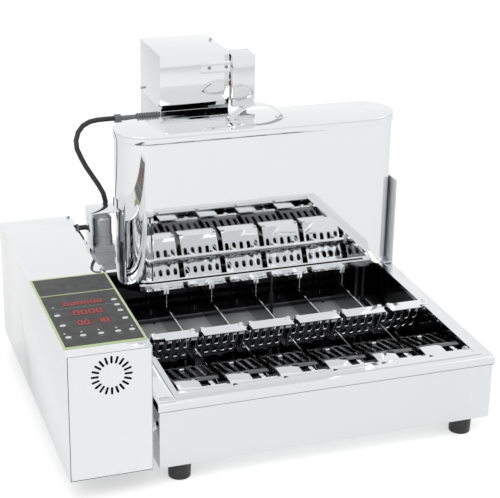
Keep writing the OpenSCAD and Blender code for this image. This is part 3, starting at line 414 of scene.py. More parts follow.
@dataclass
class Studio:
    """Floor, world, lamps and the camera."""

    camera_mm: Point = (-698.3, -1626.3, 1038.0)
    yaw: float = 19.4
    pitch: float = -22.2
    roll: float = 1.1
    lens_px: float = 1437.4
    floor_glow: float = 0.48
    mirror_glow: float = 0.28

    def build(self) -> None:
        """Makes the whole studio."""
        self._camera()
        self._floor()
        self._world()
        self._lamp("key_light", (-1.6, -1.6, 2.6), 2.2, 30.0)
        self._lamp("fill_light", (2.4, -0.8, 1.8), 2.0, 14.0)

    def _camera(self) -> None:
        """Sets the camera from its place and angles."""
        yaw, pitch, roll = (math.radians(a) for a in (self.yaw, self.pitch, self.roll))
        ahead = Vector((math.sin(yaw) * math.cos(pitch), math.cos(yaw) * math.cos(pitch),
                        math.sin(pitch)))
        right = Vector((math.cos(yaw), -math.sin(yaw), 0.0))
        up = right.cross(ahead)
        side = right * math.cos(roll) + up * math.sin(roll)
        top = up * math.cos(roll) - right * math.sin(roll)
        turn = Matrix((side, top, -ahead)).transposed().to_4x4()
        data = bpy.data.cameras.new("camera")
        data.sensor_width = 36.0
        data.sensor_fit = "HORIZONTAL"
        data.lens = self.lens_px / IMAGE_SIZE[0] * data.sensor_width
        data.clip_end = 30.0
        camera = bpy.data.objects.new("camera", data)
        bpy.context.scene.collection.objects.link(camera)
        camera.matrix_world = Matrix.Translation(place(*self.camera_mm)) @ turn
        bpy.context.scene.camera = camera

    def _floor(self) -> None:
        """Makes a wide pale floor that stays white for the camera and keeps its shadow."""
        bpy.ops.mesh.primitive_plane_add(size=14.0, location=(0.0, 0.0, -0.0005))
        floor = bpy.context.object
        floor.name = "floor"
        shader = Shader("pale_floor")
        diffuse = shader.node("ShaderNodeBsdfDiffuse")
        diffuse.inputs["Color"].default_value = (0.86, 0.86, 0.86, 1.0)
        glow = shader.node("ShaderNodeEmission")
        glow.inputs["Color"].default_value = (1.0, 1.0, 1.0, 1.0)
        rays = shader.node("ShaderNodeLightPath")
        direct = shader.node("ShaderNodeMath", operation="MULTIPLY")
        direct.inputs[1].default_value = self.floor_glow
        level = shader.node("ShaderNodeMath", operation="MULTIPLY_ADD")
        level.inputs[1].default_value = self.mirror_glow
        both = shader.node("ShaderNodeAddShader")
        shader.link(rays.outputs["Is Camera Ray"], direct.inputs[0])
        shader.link(rays.outputs["Is Glossy Ray"], level.inputs[0])
        shader.link(direct.outputs[0], level.inputs[2])
        shader.link(level.outputs[0], glow.inputs["Strength"])
        shader.link(diffuse.outputs[0], both.inputs[0])
        shader.link(glow.outputs[0], both.inputs[1])
        shader.link(both.outputs[0], shader.output.inputs["Surface"])
        floor.data.materials.append(shader.material)

    def _world(self) -> None:
        """A soft even sky that camera and mirrors see as white."""
        world = bpy.data.worlds.new("studio")
        bpy.context.scene.world = world
        world.use_nodes = True
        tree = world.node_tree
        tree.nodes.clear()
        output = tree.nodes.new("ShaderNodeOutputWorld")
        soft, white = (tree.nodes.new("ShaderNodeBackground") for _ in range(2))
        for sky, strength in ((soft, 0.55), (white, 1.0)):
            sky.inputs["Color"].default_value = (1.0, 1.0, 1.0, 1.0)
            sky.inputs["Strength"].default_value = strength
        rays = tree.nodes.new("ShaderNodeLightPath")
        first, second = (tree.nodes.new("ShaderNodeMath") for _ in range(2))
        for either in (first, second):
            either.operation = "MAXIMUM"
        mix = tree.nodes.new("ShaderNodeMixShader")
        links = tree.links
        links.new(rays.outputs["Is Camera Ray"], first.inputs[0])
        links.new(rays.outputs["Is Glossy Ray"], first.inputs[1])
        links.new(first.outputs[0], second.inputs[0])
        links.new(rays.outputs["Is Transmission Ray"], second.inputs[1])
        links.new(second.outputs[0], mix.inputs[0])
        links.new(soft.outputs[0], mix.inputs[1])
        links.new(white.outputs[0], mix.inputs[2])
        links.new(mix.outputs[0], output.inputs["Surface"])

    @staticmethod
    def _lamp(name: str, spot: Point, size: float, watts: float) -> None:
        """Adds a soft square lamp aimed at the machine's middle."""
        data = bpy.data.lights.new(name, "AREA")
        data.size = size
        data.energy = watts
        lamp = bpy.data.objects.new(name, data)
        bpy.context.scene.collection.objects.link(lamp)
        aim = Vector((0.0, 0.0, 0.2)) - Vector(spot)
        turn = aim.to_track_quat("-Z", "Y").to_matrix().to_4x4()
        lamp.matrix_world = Matrix.Translation(spot) @ turn


# ---------------------------------------------------------------- pieces


@dataclass
class DriveLead:
    """The black lead from the drive's conduit to the control box."""

    diameter: float = 0.008
    route: tuple[Point, ...] = (
        (-186, 480, 374), (-199, 480, 374), (-213, 479, 374), (-226, 476, 373), (-238, 471, 369),
        (-247, 465, 361), (-252, 459, 350), (-252, 454, 338), (-247, 450, 325), (-240, 447, 310),
        (-231, 444, 295), (-222, 442, 280), (-215, 441, 266), (-212, 440, 252), (-215, 439, 239),
        (-223, 438, 227), (-234, 437, 218), (-246, 437, 214), (-257, 437, 214))

    def build(self, material: bpy.types.Material) -> None:
        """Makes the lead as one smooth curve."""
        data = bpy.data.curves.new("drive_cable", "CURVE")
        data.dimensions = "3D"
        data.bevel_depth = self.diameter / 2
        data.bevel_resolution = 4
        data.use_fill_caps = True
        points = [Vector(place(*p)) for p in self.route]
        line = data.splines.new("POLY")
        line.points.add(len(points) - 1)
        for knot, point in zip(line.points, points):
            knot.co = (*point, 1.0)
        cable = bpy.data.objects.new("drive_cable", data)
        bpy.context.scene.collection.objects.link(cable)
        data.materials.append(material)
        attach(cable, "machine")
        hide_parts("drive_lead")


class Bench:
    """Modelling moves shared by the sub-assemblies. Lengths are machine millimetres."""

    @staticmethod
    def clear() -> None:
        """Leaves edit mode and deselects everything."""
        if bpy.context.object and bpy.context.object.mode != "OBJECT":
            bpy.ops.object.mode_set(mode="OBJECT")
        bpy.ops.object.select_all(action="DESELECT")

    @staticmethod
    def pick(piece: bpy.types.Object) -> None:
        """Makes one piece the only selected one."""
        Bench.clear()
        piece.select_set(True)
        bpy.context.view_layer.objects.active = piece

    @staticmethod
    def apply(piece: bpy.types.Object, kind: str, **values: object) -> None:
        """Adds a modifier with its values and applies it."""
        Bench.pick(piece)
        made = piece.modifiers.new("step", kind)
        for key, value in values.items():
            setattr(made, key, value)
        bpy.ops.object.modifier_apply(modifier=made.name)

    @staticmethod
    def block(name: str, low: Point, high: Point, edge: float = 0.0) -> bpy.types.Object:
        """Makes a block between two corners.

        Args:
            name: the piece's name.
            low: its lowest corner.
            high: its highest corner.
            edge: the width of its bevelled edges.

        Returns:
            The block, with its place in its mesh.
        """
        Bench.clear()
        bpy.ops.mesh.primitive_cube_add(size=1.0)
        made = bpy.context.object
        made.name = name
        bpy.ops.object.mode_set(mode="EDIT")
        bpy.ops.mesh.select_all(action="SELECT")
        bpy.ops.transform.resize(value=[(b - a) * MM for a, b in zip(low, high)])
        bpy.ops.transform.translate(value=place(*[(a + b) / 2 for a, b in zip(low, high)]))
        if edge:
            bpy.ops.mesh.bevel(offset=edge * MM, segments=2, affect="EDGES")
        bpy.ops.object.mode_set(mode="OBJECT")
        return made

    @staticmethod
    def bar(name: str, start: Point, diameter: float, length: float) -> bpy.types.Object:
        """Makes a round bar along X that starts at a point."""
        Bench.clear()
        bpy.ops.mesh.primitive_cylinder_add(
            vertices=32, radius=diameter / 2 * MM, depth=length * MM)
        made = bpy.context.object
        made.name = name
        middle = place(start[0] + length / 2, start[1], start[2])
        made.data.transform(Matrix.Translation(middle) @ Matrix.Rotation(math.pi / 2, 4, "Y"))
        return made

    @staticmethod
    def bent_sheet(name: str, x: float, width: float, path: Sequence[tuple[float, float]],
                   thickness: float) -> bpy.types.Object:
        """Extrudes a strip edge by edge along a bent path and gives it its thickness.

        Args:
            name: the piece's name.
            x: the middle of its width.
            width: its width along X.
            path: (y, z) points, of which the first two lie level.
            thickness: the sheet's thickness, grown below the path.

        Returns:
            The sheet.
        """
        Bench.clear()
        bpy.ops.mesh.primitive_plane_add(size=1.0)
        made = bpy.context.object
        made.name = name
        (y0, z0), (y1, _) = path[0], path[1]
        made.data.transform(Matrix.Translation(place(x, (y0 + y1) / 2, z0))
                            @ Matrix.Diagonal((width * MM, (y1 - y0) * MM, 1.0, 1.0)))
        rear = place(0, (y0 + y1) / 2, 0)[1]
        bpy.ops.object.mode_set(mode="EDIT")
        bpy.ops.mesh.select_all(action="DESELECT")
        bpy.ops.object.mode_set(mode="OBJECT")
        for vertex in made.data.vertices:
            vertex.select = vertex.co.y > rear
        for edge in made.data.edges:
            edge.select = all(made.data.vertices[i].select for i in edge.vertices)
        bpy.ops.object.mode_set(mode="EDIT")
        bpy.ops.mesh.select_mode(type="EDGE")
        for (ya, za), (yb, zb) in zip(path[1:], path[2:]):
            bpy.ops.mesh.extrude_region_move(
                TRANSFORM_OT_translate={"value": (0.0, (yb - ya) * MM, (zb - za) * MM)})
        bpy.ops.mesh.select_all(action="SELECT")
        bpy.ops.mesh.normals_make_consistent(inside=False)
        bpy.ops.object.mode_set(mode="OBJECT")
        Bench.apply(made, "SOLIDIFY", thickness=thickness * MM, offset=-1.0, use_even_offset=True)
        return made

    @staticmethod
    def slot_cutter(width: float, length: float) -> bpy.types.Object:
        """Makes a round-ended cutter at the origin, its length along Y, in millimetres."""
        Bench.clear()
        bpy.ops.mesh.primitive_cylinder_add(vertices=16, radius=width / 2 * MM, depth=8 * MM)
        made = bpy.context.object
        bpy.ops.object.mode_set(mode="EDIT")
        bpy.ops.mesh.select_all(action="DESELECT")
        bpy.ops.object.mode_set(mode="OBJECT")
        stretch = (length - width) / 2 * MM
        for vertex in made.data.vertices:
            vertex.co.y += math.copysign(stretch, vertex.co.y)
        return made

    @staticmethod
    def copy_of(piece: bpy.types.Object, name: str, turn: Matrix) -> bpy.types.Object:
        """Copies a piece with its own mesh, moved by a matrix."""
        made = bpy.data.objects.new(name, piece.data.copy())
        made.data.transform(turn)
        bpy.context.scene.collection.objects.link(made)
        return made

    @staticmethod
    def join(name: str, pieces: Sequence[bpy.types.Object]) -> bpy.types.Object:
        """Joins pieces into the first and names it."""
        Bench.clear()
        for piece in pieces:
            piece.select_set(True)
        bpy.context.view_layer.objects.active = pieces[0]
        if len(pieces) > 1:
            bpy.ops.object.join()
        pieces[0].name = name
        return pieces[0]

    @staticmethod
    def cut(piece: bpy.types.Object, cutters: Sequence[bpy.types.Object]) -> None:
        """Cuts the joined cutters out of a piece and removes them."""
        tool = Bench.join("cutter", cutters)
        Bench.apply(piece, "BOOLEAN", operation="DIFFERENCE", object=tool, solver="EXACT")
        bpy.data.objects.remove(tool)

    @staticmethod
    def smooth(piece: bpy.types.Object) -> None:
        """Shades a piece smooth between its sharp edges."""
        Bench.pick(piece)
        bpy.ops.object.shade_smooth_by_angle(angle=SMOOTH_ANGLE)

    @staticmethod
    def soften(piece: bpy.types.Object, width: float) -> None:
        """Rounds a piece's sharp edges and shades it smooth between them."""
        Bench.apply(piece, "BEVEL", width=width * MM, segments=2, limit_method="ANGLE",
                    angle_limit=BEVEL_ANGLE, harden_normals=False)
        Bench.smooth(piece)

    @staticmethod
    def finish(piece: bpy.types.Object, body: str, slot: str, material: bpy.types.Material,
               *nodes: str) -> None:
        """Gives a piece its material and body, and hides the nodes that it stands for."""
        piece.data.materials.clear()
        piece.data.materials.append(material)
        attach(piece, body)
        if nodes:
            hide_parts(*nodes)
        LOG.info("made %s", piece.name)


LANES = 6
LANE_W = 442.0 / LANES
PAN_X0 = -216.0


def seam_x(index: int) -> float:
    """Returns the x of the seam left of a lane."""
    return PAN_X0 + LANE_W * index


def lane_x(index: float) -> float:
    """Returns the x of a lane's middle."""
    return PAN_X0 + LANE_W * (index + 0.5)


class Side(Enum):
    """The two ends of a row of lanes."""

    LEFT = -1
    RIGHT = 1


def lane_sets(*pieces: bpy.types.Object) -> list[tuple[bpy.types.Object, ...]]:
    """Copies the first lane's pieces, whose names end in 1, to the other lanes.

    Args:
        pieces: the first lane's pieces.

    Returns:
        Each lane's pieces, the first lane included.
    """
    sets = [pieces]
    for index in range(1, LANES):
        shift = Matrix.Translation((LANE_W * index * MM, 0.0, 0.0))
        sets.append(tuple(Bench.copy_of(piece, f"{piece.name[:-1]}{index + 1}", shift)
                          for piece in pieces))
    return sets


@dataclass
class LanePlates:
    """The upright plates between the lanes, darkened as painted shade, each with a bright folded
    top edge.
    """

    top: float = 106.0
    arch: float = 66.0
    floor: float = 45.2
    thickness: float = 1.0
    bead: float = 2.0
    front: tuple[float, float] = (36.0, 184.0)
    rear: tuple[float, float] = (230.0, 441.0)
    leg: float = 10.0
    tab_y: tuple[float, float] = (338.0, 346.0)
    tab_top: float = 133.0

    def _set(self, name: str, ends: tuple[float, float], tab: bool,
             dark: bpy.types.Material, bright: bpy.types.Material) -> None:
        """Makes one row of plates and the beads on their top edges.

        Args:
            name: the CAD node that the row stands for.
            ends: the plates' front and rear y.
            tab: whether a tab rises to the rail's clip.
            dark: the plates' finish, darkened as painted shade.
            bright: the beads' finish.
        """
        y0, y1 = ends
        plates, beads = [], []
        for index in range(1, LANES):
            x = seam_x(index)
            low, high = x - self.thickness / 2, x + self.thickness / 2
            plates.append(Bench.block("plate", (low, y0, self.arch), (high, y1, self.top), 0.15))
            for y in (y0, y1 - self.leg):
                plates.append(Bench.block("leg", (low, y, self.floor),
                                          (high, y + self.leg, self.arch + 1), 0.15))
            if tab:
                plates.append(Bench.block("tab", (low, self.tab_y[0], self.top - 1),
                                          (high, self.tab_y[1], self.tab_top), 0.15))
            beads.append(Bench.block("bead", (x - self.bead / 2, y0, self.top - 0.6),
                                     (x + self.bead / 2, y1, self.top + 0.8), 0.4))
        # the plates take the darkened finish of painted shade; the beads keep the bright sheet
        Bench.finish(Bench.join(name + "_plates", plates), "machine", "food_steel", dark, name)
        Bench.finish(Bench.join(name + "_edges", beads), "machine", "sheet_steel", bright)

    def build(self, dark: bpy.types.Material, bright: bpy.types.Material) -> None:
        """Makes both rows."""
        self._set("front_dividers", self.front, False, dark, bright)
        self._set("rear_dividers", self.rear, True, dark, bright)


@dataclass
class FlipForks:
    """Bent forks, each with a bright strip and a slotted comb that slopes down behind it."""

    shaft: tuple[float, float] = (210.0, 115.0)
    width: float = 64.6
    strip: tuple[float, float] = (155.0, 179.5)
    strip_z: float = 141.0
    foot: tuple[float, float] = (217.0, 75.0)
    lip: float = 44.0
    thickness: float = 1.5
    slots: int = 5
    rows: tuple[tuple[float, float], ...] = ((20.0, 44.0), (53.0, 64.0))
    corner: tuple[float, float] = (16.0, 7.5)
    slot_share: float = 0.52
    bite: tuple[float, float] = (0.66, 0.7)

    def build(self, bright: bpy.types.Material, dark: bpy.types.Material) -> None:
        """Makes one fork with its hubs and copies it to each lane."""
        x = lane_x(0)
        bend = (self.strip[1], self.strip_z)
        end = (self.foot[0] + self.lip, self.foot[1] - 2)
        path = ((self.strip[0], self.strip_z), bend, self.foot, end)
        fork = Bench.bent_sheet("flip_fork_1", x, self.width, path, self.thickness)
        drop = math.atan2(bend[1] - self.foot[1], self.foot[0] - bend[0])
        lean = Matrix.Rotation(-drop, 4, "X")
        pitch = self.width / self.slots
        cutters = []
        for low, high in self.rows:
            tool = Bench.slot_cutter(pitch * self.slot_share, high - low)
            for index in range(self.slots):
                shift = Matrix.Translation((0.0, (low + high) / 2 * MM, 0.0))
                spot = place(x + (index - (self.slots - 1) / 2) * pitch, *bend)
                cutters.append(Bench.copy_of(tool, "slot", Matrix.Translation(spot) @ lean @ shift))
            bpy.data.objects.remove(tool)
        bite = Bench.slot_cutter(pitch * self.bite[0], pitch * self.bite[1])
        for index in range(self.slots + 1):
            spot = place(x + (index - self.slots / 2) * pitch, *end)
            cutters.append(Bench.copy_of(bite, "bite", Matrix.Translation(spot)))
        bpy.data.objects.remove(bite)
        Bench.cut(fork, cutters)
        Bench.soften(fork, 0.3)
        hubs = []
        y, z = self.shaft
        for side in (-1.5, 1.5):
            hub_x = x + side * pitch - 3
            hubs.append(Bench.bar("hub", (hub_x, y, z), 13.0, 6.0))
            hubs.append(Bench.block("web", (hub_x, y - 15, z - 4), (hub_x + 6, y - 3, z + 4), 0.5))
        for side in (-1, 1):
            clip_x = x + side * (self.width / 2 - 3)
            hubs.append(Bench.block("clip", (clip_x - 3, self.strip[1] - 8, self.strip_z - 0.4),
                                    (clip_x + 3, self.strip[1] - 2, self.strip_z + 2.4), 0.4))
        Bench.soften(hubs[0], 0.3)
        hub = Bench.join("flip_hub_1", hubs)
        lanes = lane_sets(fork, hub)
        self.clear_corner(lanes[0][0], lane_x(0), Side.LEFT)
        self.clear_corner(lanes[-1][0], lane_x(LANES - 1), Side.RIGHT)
        for lane_fork, lane_hub in lanes:
            for made, material in ((lane_fork, bright), (lane_hub, dark)):
                Bench.smooth(made)
                nodes = ("flip_forks",) if made is fork else ()
                Bench.finish(made, "flip", "food_steel", material, *nodes)

    def clear_corner(self, fork: bpy.types.Object, x: float, side: Side) -> None:
        """Cuts the outer front corner off an end fork, which would meet the heating tube.

        Args:
            fork: the end fork.
            x: the middle of its lane.
            side: the row's end.
        """
        edge = x + side.value * (self.width / 2 + 1)
        inner = x + side.value * (self.width / 2 - self.corner[0])
        low, high = min(edge, inner), max(edge, inner)
        front = self.strip[0]
        Bench.cut(fork, [Bench.block("corner", (low, front - 2, self.strip_z - 5),
                                     (high, front + self.corner[1], self.strip_z + 5))])


@dataclass
class DischargeForks:
    """Sloping slotted front forks, each with a square tab, a scalloped end and a nub."""

    shaft: tuple[float, float] = (45.0, 115.0)
    width: float = 64.6
    path: tuple[tuple[float, float], ...] = ((58.0, 121.5), (68.0, 121.5), (138.0, 106.0))
    thickness: float = 1.5
    slots: int = 5
    tab: tuple[Point, Point] = ((4.5, 30.3, 123.4), (37.5, 59.0, 124.8))
    nub: tuple[Point, Point] = ((27.0, 108.0, 111.5), (34.0, 114.0, 115.5))
    slot_share: float = 0.5
    bite: tuple[float, float] = (0.66, 0.9)

    def build(self, plate: bpy.types.Material, bright: bpy.types.Material) -> None:
        """Makes one fork with its tab and copies it to each lane."""
        x = lane_x(0)
        fork = Bench.bent_sheet("discharge_fork_1", x, self.width, self.path, self.thickness)
        bend, tip = self.path[1], self.path[2]
        drop = math.atan2(bend[1] - tip[1], tip[0] - bend[0])
        reach = math.hypot(bend[1] - tip[1], tip[0] - bend[0])
        pitch = self.width / self.slots
        tool = Bench.slot_cutter(pitch * self.slot_share, reach - 16)
        bite = Bench.slot_cutter(pitch * self.bite[0], pitch * self.bite[1])
        lean = Matrix.Rotation(-drop, 4, "X")
        cutters = []
        for index in range(self.slots):
            spot = place(x + (index - (self.slots - 1) / 2) * pitch, *bend)
            shift = Matrix.Translation((0.0, (reach - 6) / 2 * MM, 0.0))
            cutters.append(Bench.copy_of(tool, "slot", Matrix.Translation(spot) @ lean @ shift))
        for index in range(self.slots + 1):
            spot = place(x + (index - self.slots / 2) * pitch, *tip)
            cutters.append(Bench.copy_of(bite, "bite", Matrix.Translation(spot) @ lean))
        for spare in (tool, bite):
            bpy.data.objects.remove(spare)
        Bench.cut(fork, cutters)
        Bench.soften(fork, 0.3)
        corner = Vector((seam_x(0), 0.0, 0.0))
        parts = [Bench.block(name, corner + Vector(low), corner + Vector(high), edge)
                 for name, (low, high), edge in (("tab", self.tab, 0.4), ("nub", self.nub, 0.8))]
        y, z = self.shaft
        for hub_x in (x - 22, x + 16):
            parts.append(Bench.bar("hub", (hub_x, y, z), 13.0, 6.0))
            parts.append(Bench.block("web", (hub_x, y, z + 1), (hub_x + 6, y + 16, z + 5.4), 0.4))
        tabs = Bench.join("discharge_tab_1", parts)
        for lane_fork, lane_tab in lane_sets(fork, tabs):
            # the fork plates take the darkened steel of painted shade; the tabs keep the bright
            # sheet
            for made, material in ((lane_fork, plate), (lane_tab, bright)):
                Bench.smooth(made)
                nodes = ("discharge_forks",) if made is fork else ()
                Bench.finish(made, "discharge", "food_steel", material, *nodes)


@dataclass
class FrontSill:
    """The level strip behind the front lip, with a pointed notch beside each seam."""

    y: tuple[float, float] = (20.3, 29.6)
    top: float = 126.4
    thickness: float = 1.4
    notch: float = 8.0
    notch_share: float = 0.62
    notch_y: float = 5.4
    notch_turn: float = 12.0

    def build(self, material: bpy.types.Material) -> None:
        """Makes the strip, its front fold and its notches."""
        y0, y1 = self.y
        left, right = PAN_X0 + 0.3, seam_x(LANES) - 0.3
        strip = Bench.block("front_sill_strip", (left, y0, self.top - self.thickness),
                            (right, y1, self.top))
        cutters = []
        for index in range(1, LANES):
            Bench.clear()
            bpy.ops.mesh.primitive_cylinder_add(
                vertices=3, radius=self.notch * self.notch_share * MM, depth=10 * MM)
            tool = bpy.context.object
            spot = place(seam_x(index) + self.notch, y0 + self.notch_y, self.top)
            turn = Matrix.Rotation(math.radians(self.notch_turn), 4, "Z")
            tool.data.transform(Matrix.Translation(spot) @ turn)
            cutters.append(tool)
        Bench.cut(strip, cutters)
        fold = Bench.block("fold", (left, y0, self.top - 8), (right, y0 + 1.2, self.top - 1), 0.2)
        Bench.soften(strip, 0.25)
        joined = Bench.join("front_sill_strip", [strip, fold])
        Bench.finish(joined, "machine", "sheet_steel", material, "front_sill")


@dataclass
class OvalKeys:
    """The panel's small oval keys, one piece on each key's own body."""

    across: tuple[float, float] = (8.4, 6.4)
    top: float = 219.0
    bottom: float = 217.4
    groups: tuple[tuple[str, int], ...] = (("left", 2), ("right", 4), ("bottom", 5))

    def build(self, material: bpy.types.Material) -> None:
        """Makes one domed cap and copies it to each key's place."""
        Bench.clear()
        bpy.ops.mesh.primitive_cylinder_add(vertices=40, radius=0.5, depth=1.0)
        cap = bpy.context.object
        height = self.top - self.bottom
        wide, deep = self.across
        cap.data.transform(Matrix.Diagonal((wide * MM, deep * MM, height * MM, 1.0)))
        Bench.soften(cap, 0.45)
        names = [f"key_{group}_{i + 1}" for group, count in self.groups for i in range(count)]
        for name in names:
            low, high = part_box(name)
            spot = ((low[0] + high[0]) / 2, (low[1] + high[1]) / 2,
                    (self.top + self.bottom) / 2 * MM)
            made = Bench.copy_of(cap, name + "_cap", Matrix.Translation(spot))
            Bench.smooth(made)
            Bench.finish(made, name, "key", material, name)
        bpy.data.objects.remove(cap)


@dataclass
class ShadowSeams:
    """Dark strips along the front cover's real seams and under the tank's lip, painted as the
    shadow in those gaps.
    """

    width: float = 0.9
    front_y: float = -5.62
    box_x: tuple[float, float] = (-371.6, -259.4)
    box_z: tuple[float, float] = (32.6, 215.4)
    lip_x: tuple[float, float] = (-249.6, 249.6)
    lip_z: float = 112.9

    def build(self, material: bpy.types.Material) -> None:
        """Makes the painted shadow strips in the seams of the control box's front cover and under
        the tank's lip.
        """
        (x0, x1), (z0, z1), y, w = self.box_x, self.box_z, self.front_y, self.width
        seams = [Bench.block("seam", (x0, y, z0), (x0 + w, y + 1.0, z1)),
                 Bench.block("seam", (x1 - w / 2, y, z0), (x1, y + 1.0, z1)),
                 Bench.block("seam", (x0, y, z1 - w / 2), (x1, y + 1.0, z1)),
                 Bench.block("seam", (x0, y, z0), (x1, y + 1.0, z0 + w)),
                 # the strip under the tank's lip is painted shade under the lip
                 Bench.block("seam", (self.lip_x[0], 0.3, self.lip_z - w / 2),
                             (self.lip_x[1], 2.0, self.lip_z))]
        Bench.finish(Bench.join("cover_seams", seams), "machine", "black_plastic", material)


@dataclass
class PanelMarks:
    """Lit digits in the three windows and short printed dashes beside the keys."""

    middle_x: float = -315.5
    front_y: float = 15.5
    top_z: float = 218.3
    rows: tuple[tuple[str, float, float, float], ...] = (
        ("000000", 134.0, 56.0, 8.0), ("0000", 103.0, 42.0, 12.0), ("00 18", 71.0, 44.0, 12.0))
    dashes: tuple[tuple[float, float, float], ...] = (
        (-42.5, 110.0, 7.0), (-42.0, 77.0, 7.0), (43.5, 123.0, 7.0), (43.5, 104.0, 7.0),
        (43.5, 84.0, 7.0), (-42.5, 24.0, 8.0), (-22.5, 24.5, 8.0), (1.5, 24.5, 8.0),
        (24.5, 24.5, 8.0), (43.5, 24.5, 8.0), (0.0, 120.0, 86.0))
    segments: dict[str, str] = field(
        default_factory=lambda: {"0": "abcdef", "1": "bc", "8": "abcdefg"})
    line: float = 1.3

    def _segment(self, key: str, x: float, y: float, wide: float, deep: float) -> bpy.types.Object:
        """Makes one segment of a digit.

        Args:
            key: the segment's letter, a at the top and g in the middle.
            x: the digit's middle.
            y: the digit's middle.
            wide: the digit's width.
            deep: the digit's height on the panel.

        Returns:
            The segment's bar.
        """
        line = self.line
        along = {"a": deep / 2, "g": 0.0, "d": -deep / 2}
        if key in along:
            low = (x - wide / 2 + 0.4, y + along[key] - line / 2)
            high = (x + wide / 2 - 0.4, y + along[key] + line / 2)
        else:
            side = x + (wide / 2 if key in "bc" else -wide / 2)
            start = y if key in "bf" else y - deep / 2
            low, high = (side - line / 2, start + 0.5), (side + line / 2, start + deep / 2 - 0.5)
        return Bench.block("segment", (*low, self.top_z), (*high, self.top_z + 0.25), 0.1)

    def build(self, lit: bpy.types.Material, print_white: bpy.types.Material) -> None:
        """Makes the digits and the dashes."""
        for number, (digits, back, span, deep) in enumerate(self.rows):
            step = span / len(digits)
            bars = [self._segment(key, self.middle_x + (index - (len(digits) - 1) / 2) * step,
                                  self.front_y + back, step * 0.62, deep)
                    for index, digit in enumerate(digits) for key in self.segments.get(digit, "")]
            Bench.finish(Bench.join(f"digits_{number + 1}", bars), "machine", "display", lit)
        marks = []
        for across, back, wide in self.dashes:
            x, y = self.middle_x + across, self.front_y + back
            marks.append(Bench.block("dash", (x - wide / 2, y - 0.4, self.top_z - 0.05),
                                     (x + wide / 2, y + 0.4, self.top_z + 0.15), 0.1))
        Bench.finish(Bench.join("panel_dashes", marks), "machine", "key", print_white)


@dataclass
class SoftenedSheet:
    """Merged copies of folded sheet nodes with rounded edges."""

    widths: dict[str, float] = field(default_factory=lambda: {
        "tank_casing": 0.5, "control_housing": 0.5, "drive_box": 0.5, "hopper_lid": 0.5,
        "linkage_cover": 0.3, "hopper_bracket": 0.3, "motor_bracket": 0.3, "drive_column": 0.4,
        "drive_channel": 0.35})

    def build(self, materials: dict[str, bpy.types.Material], slots: dict[str, str],
              bodies: dict[str, str]) -> None:
        """Makes each copy.

        Args:
            materials: finishes by slot, or by node where a node has its own.
            slots: each node's material slot.
            bodies: each node's body.
        """
        for name, width in self.widths.items():
            made = Bench.copy_of(frame["nodes"][name], name + "_sheet", Matrix.Identity(4))
            Bench.pick(made)
            bpy.ops.object.mode_set(mode="EDIT")
            bpy.ops.mesh.select_all(action="SELECT")
            bpy.ops.mesh.remove_doubles(threshold=0.000002)
            bpy.ops.mesh.dissolve_limited(angle_limit=math.radians(0.5))
            bpy.ops.object.mode_set(mode="OBJECT")
            Bench.soften(made, width)
            material = materials.get(name, materials[slots[name]])
            Bench.finish(made, bodies[name], slots[name], material, name)


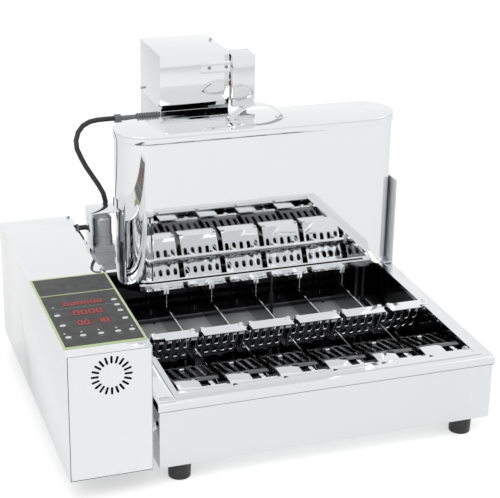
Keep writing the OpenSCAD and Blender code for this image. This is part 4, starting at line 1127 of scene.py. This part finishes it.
class Dresser:
    """Gives each CAD node its finish."""

    def __init__(self, effects: SharedEffects) -> None:
        """Builds the finishes that the nodes use."""
        self.finishes = {
            "sheet_steel": PolishedSheet("bright_sheet", (0.78, 0.79, 0.80), (0.05, 0.14)),
            "polished_steel": PolishedSheet("mirror_sheet", (0.82, 0.83, 0.84), (0.02, 0.07)),
            "food_steel": PolishedSheet(
                "food_steel", (0.84, 0.85, 0.86), (0.10, 0.2), 0.06, 0.00008),
            "dark_steel": BrushedSteel("machined_steel", (0.32, 0.33, 0.35)),
            "black_rubber": Moulded("foot_rubber", (0.02, 0.02, 0.02), (0.05, 0.05, 0.05)),
            "brass": BrushedSteel("turned_brass", (0.72, 0.55, 0.25)),
            "gearmotor": BrushedSteel("cast_gearbox", (0.45, 0.46, 0.48), (0.25, 0.45)),
            "white_plastic": Moulded("food_plastic", (0.85, 0.85, 0.83), (0.8, 0.8, 0.78)),
            "grey_plastic": Moulded("conduit_grey", (0.16, 0.165, 0.17), (0.22, 0.22, 0.23)),
            "lead_jacket": Moulded("lead_jacket", (0.012, 0.012, 0.014), (0.03, 0.03, 0.032)),
            "panel_border": Moulded("panel_border", (0.62, 0.72, 0.40), (0.60, 0.70, 0.38)),
            "panel_black": Moulded("panel_overlay", (0.022, 0.024, 0.026), (0.03, 0.03, 0.032)),
            "display": Moulded("display_window", (0.05, 0.008, 0.008), (0.06, 0.01, 0.01)),
            "lamp": Moulded("lamp_dome", (0.7, 0.7, 0.68), (0.75, 0.75, 0.72)),
            "board": Moulded("circuit_board", (0.03, 0.14, 0.07), (0.04, 0.17, 0.09)),
            "black_plastic": Moulded("black_plastic", (0.02, 0.02, 0.022), (0.035, 0.035, 0.037)),
            "key": Moulded("key_cap", (0.8, 0.8, 0.78), (0.72, 0.72, 0.7)),
        }
        self.finishes |= {
            "oil_pan": PanSteel("pan_steel"),
            # painted shade: the discharge forks' steel darkened for the shade and dark reflections
            # in the pan
            "filmed": PolishedSheet(
                "filmed_steel", (0.13, 0.13, 0.135), (0.10, 0.25), 0.06, 0.0001),
            # painted shade: the lane plates' steel darkened where they stand down in the pan
            "plates": PolishedSheet("plate_steel", (0.42, 0.42, 0.43), (0.08, 0.2), 0.06, 0.0001),
            "hopper_bracket": BrushedSteel("bracket_steel", (0.80, 0.81, 0.82), (0.38, 0.5)),
            "heating_element": BrushedSteel("heater_sheath", (0.10, 0.10, 0.105), (0.3, 0.45)),
            "thermostat_probe": BrushedSteel("probe_steel", (0.12, 0.12, 0.125), (0.3, 0.45)),
            "digit": LitDigit("lit_digit"),
            "print": Moulded("panel_print", (0.32, 0.32, 0.33), (0.38, 0.38, 0.38)),
        }
        self.materials = {slot: finish.build(effects) for slot, finish in self.finishes.items()}
        self.slots = {entry["node"]: entry["material_slot"]
                      for entry in frame["record"]["subparts"]}

    def dress(self) -> None:
        """Puts each node's material in place."""
        for name, node in frame["nodes"].items():
            node.data.materials.clear()
            node.data.materials.append(self.materials.get(name, self.materials[self.slots[name]]))
            LOG.info("dressed %s", name)


def main() -> None:
    """Builds the studio, the finishes and every visible piece."""
    logging.basicConfig(level=logging.INFO, format="%(message)s")
    bpy.context.scene.view_settings.view_transform = "Standard"
    Studio().build()
    effects = SharedEffects()
    dresser = Dresser(effects)
    finish = dresser.materials
    DriveLead().build(finish["lead_jacket"])
    dresser.dress()
    bodies = {node: body for body, nodes in frame["record"]["behaviour"]["bodies"].items()
              for node in nodes}
    SoftenedSheet().build(finish, dresser.slots, bodies)
    LanePlates().build(finish["plates"], finish["sheet_steel"])
    FlipForks().build(finish["food_steel"], finish["food_steel"])
    # the discharge fork plates get the painted shade steel
    DischargeForks().build(finish["filmed"], finish["sheet_steel"])
    FrontSill().build(finish["sheet_steel"])
    PanelMarks().build(finish["digit"], finish["print"])
    OvalKeys().build(finish["key"])
    ShadowSeams().build(finish["black_plastic"])


if __name__ == "__main__":
    main()
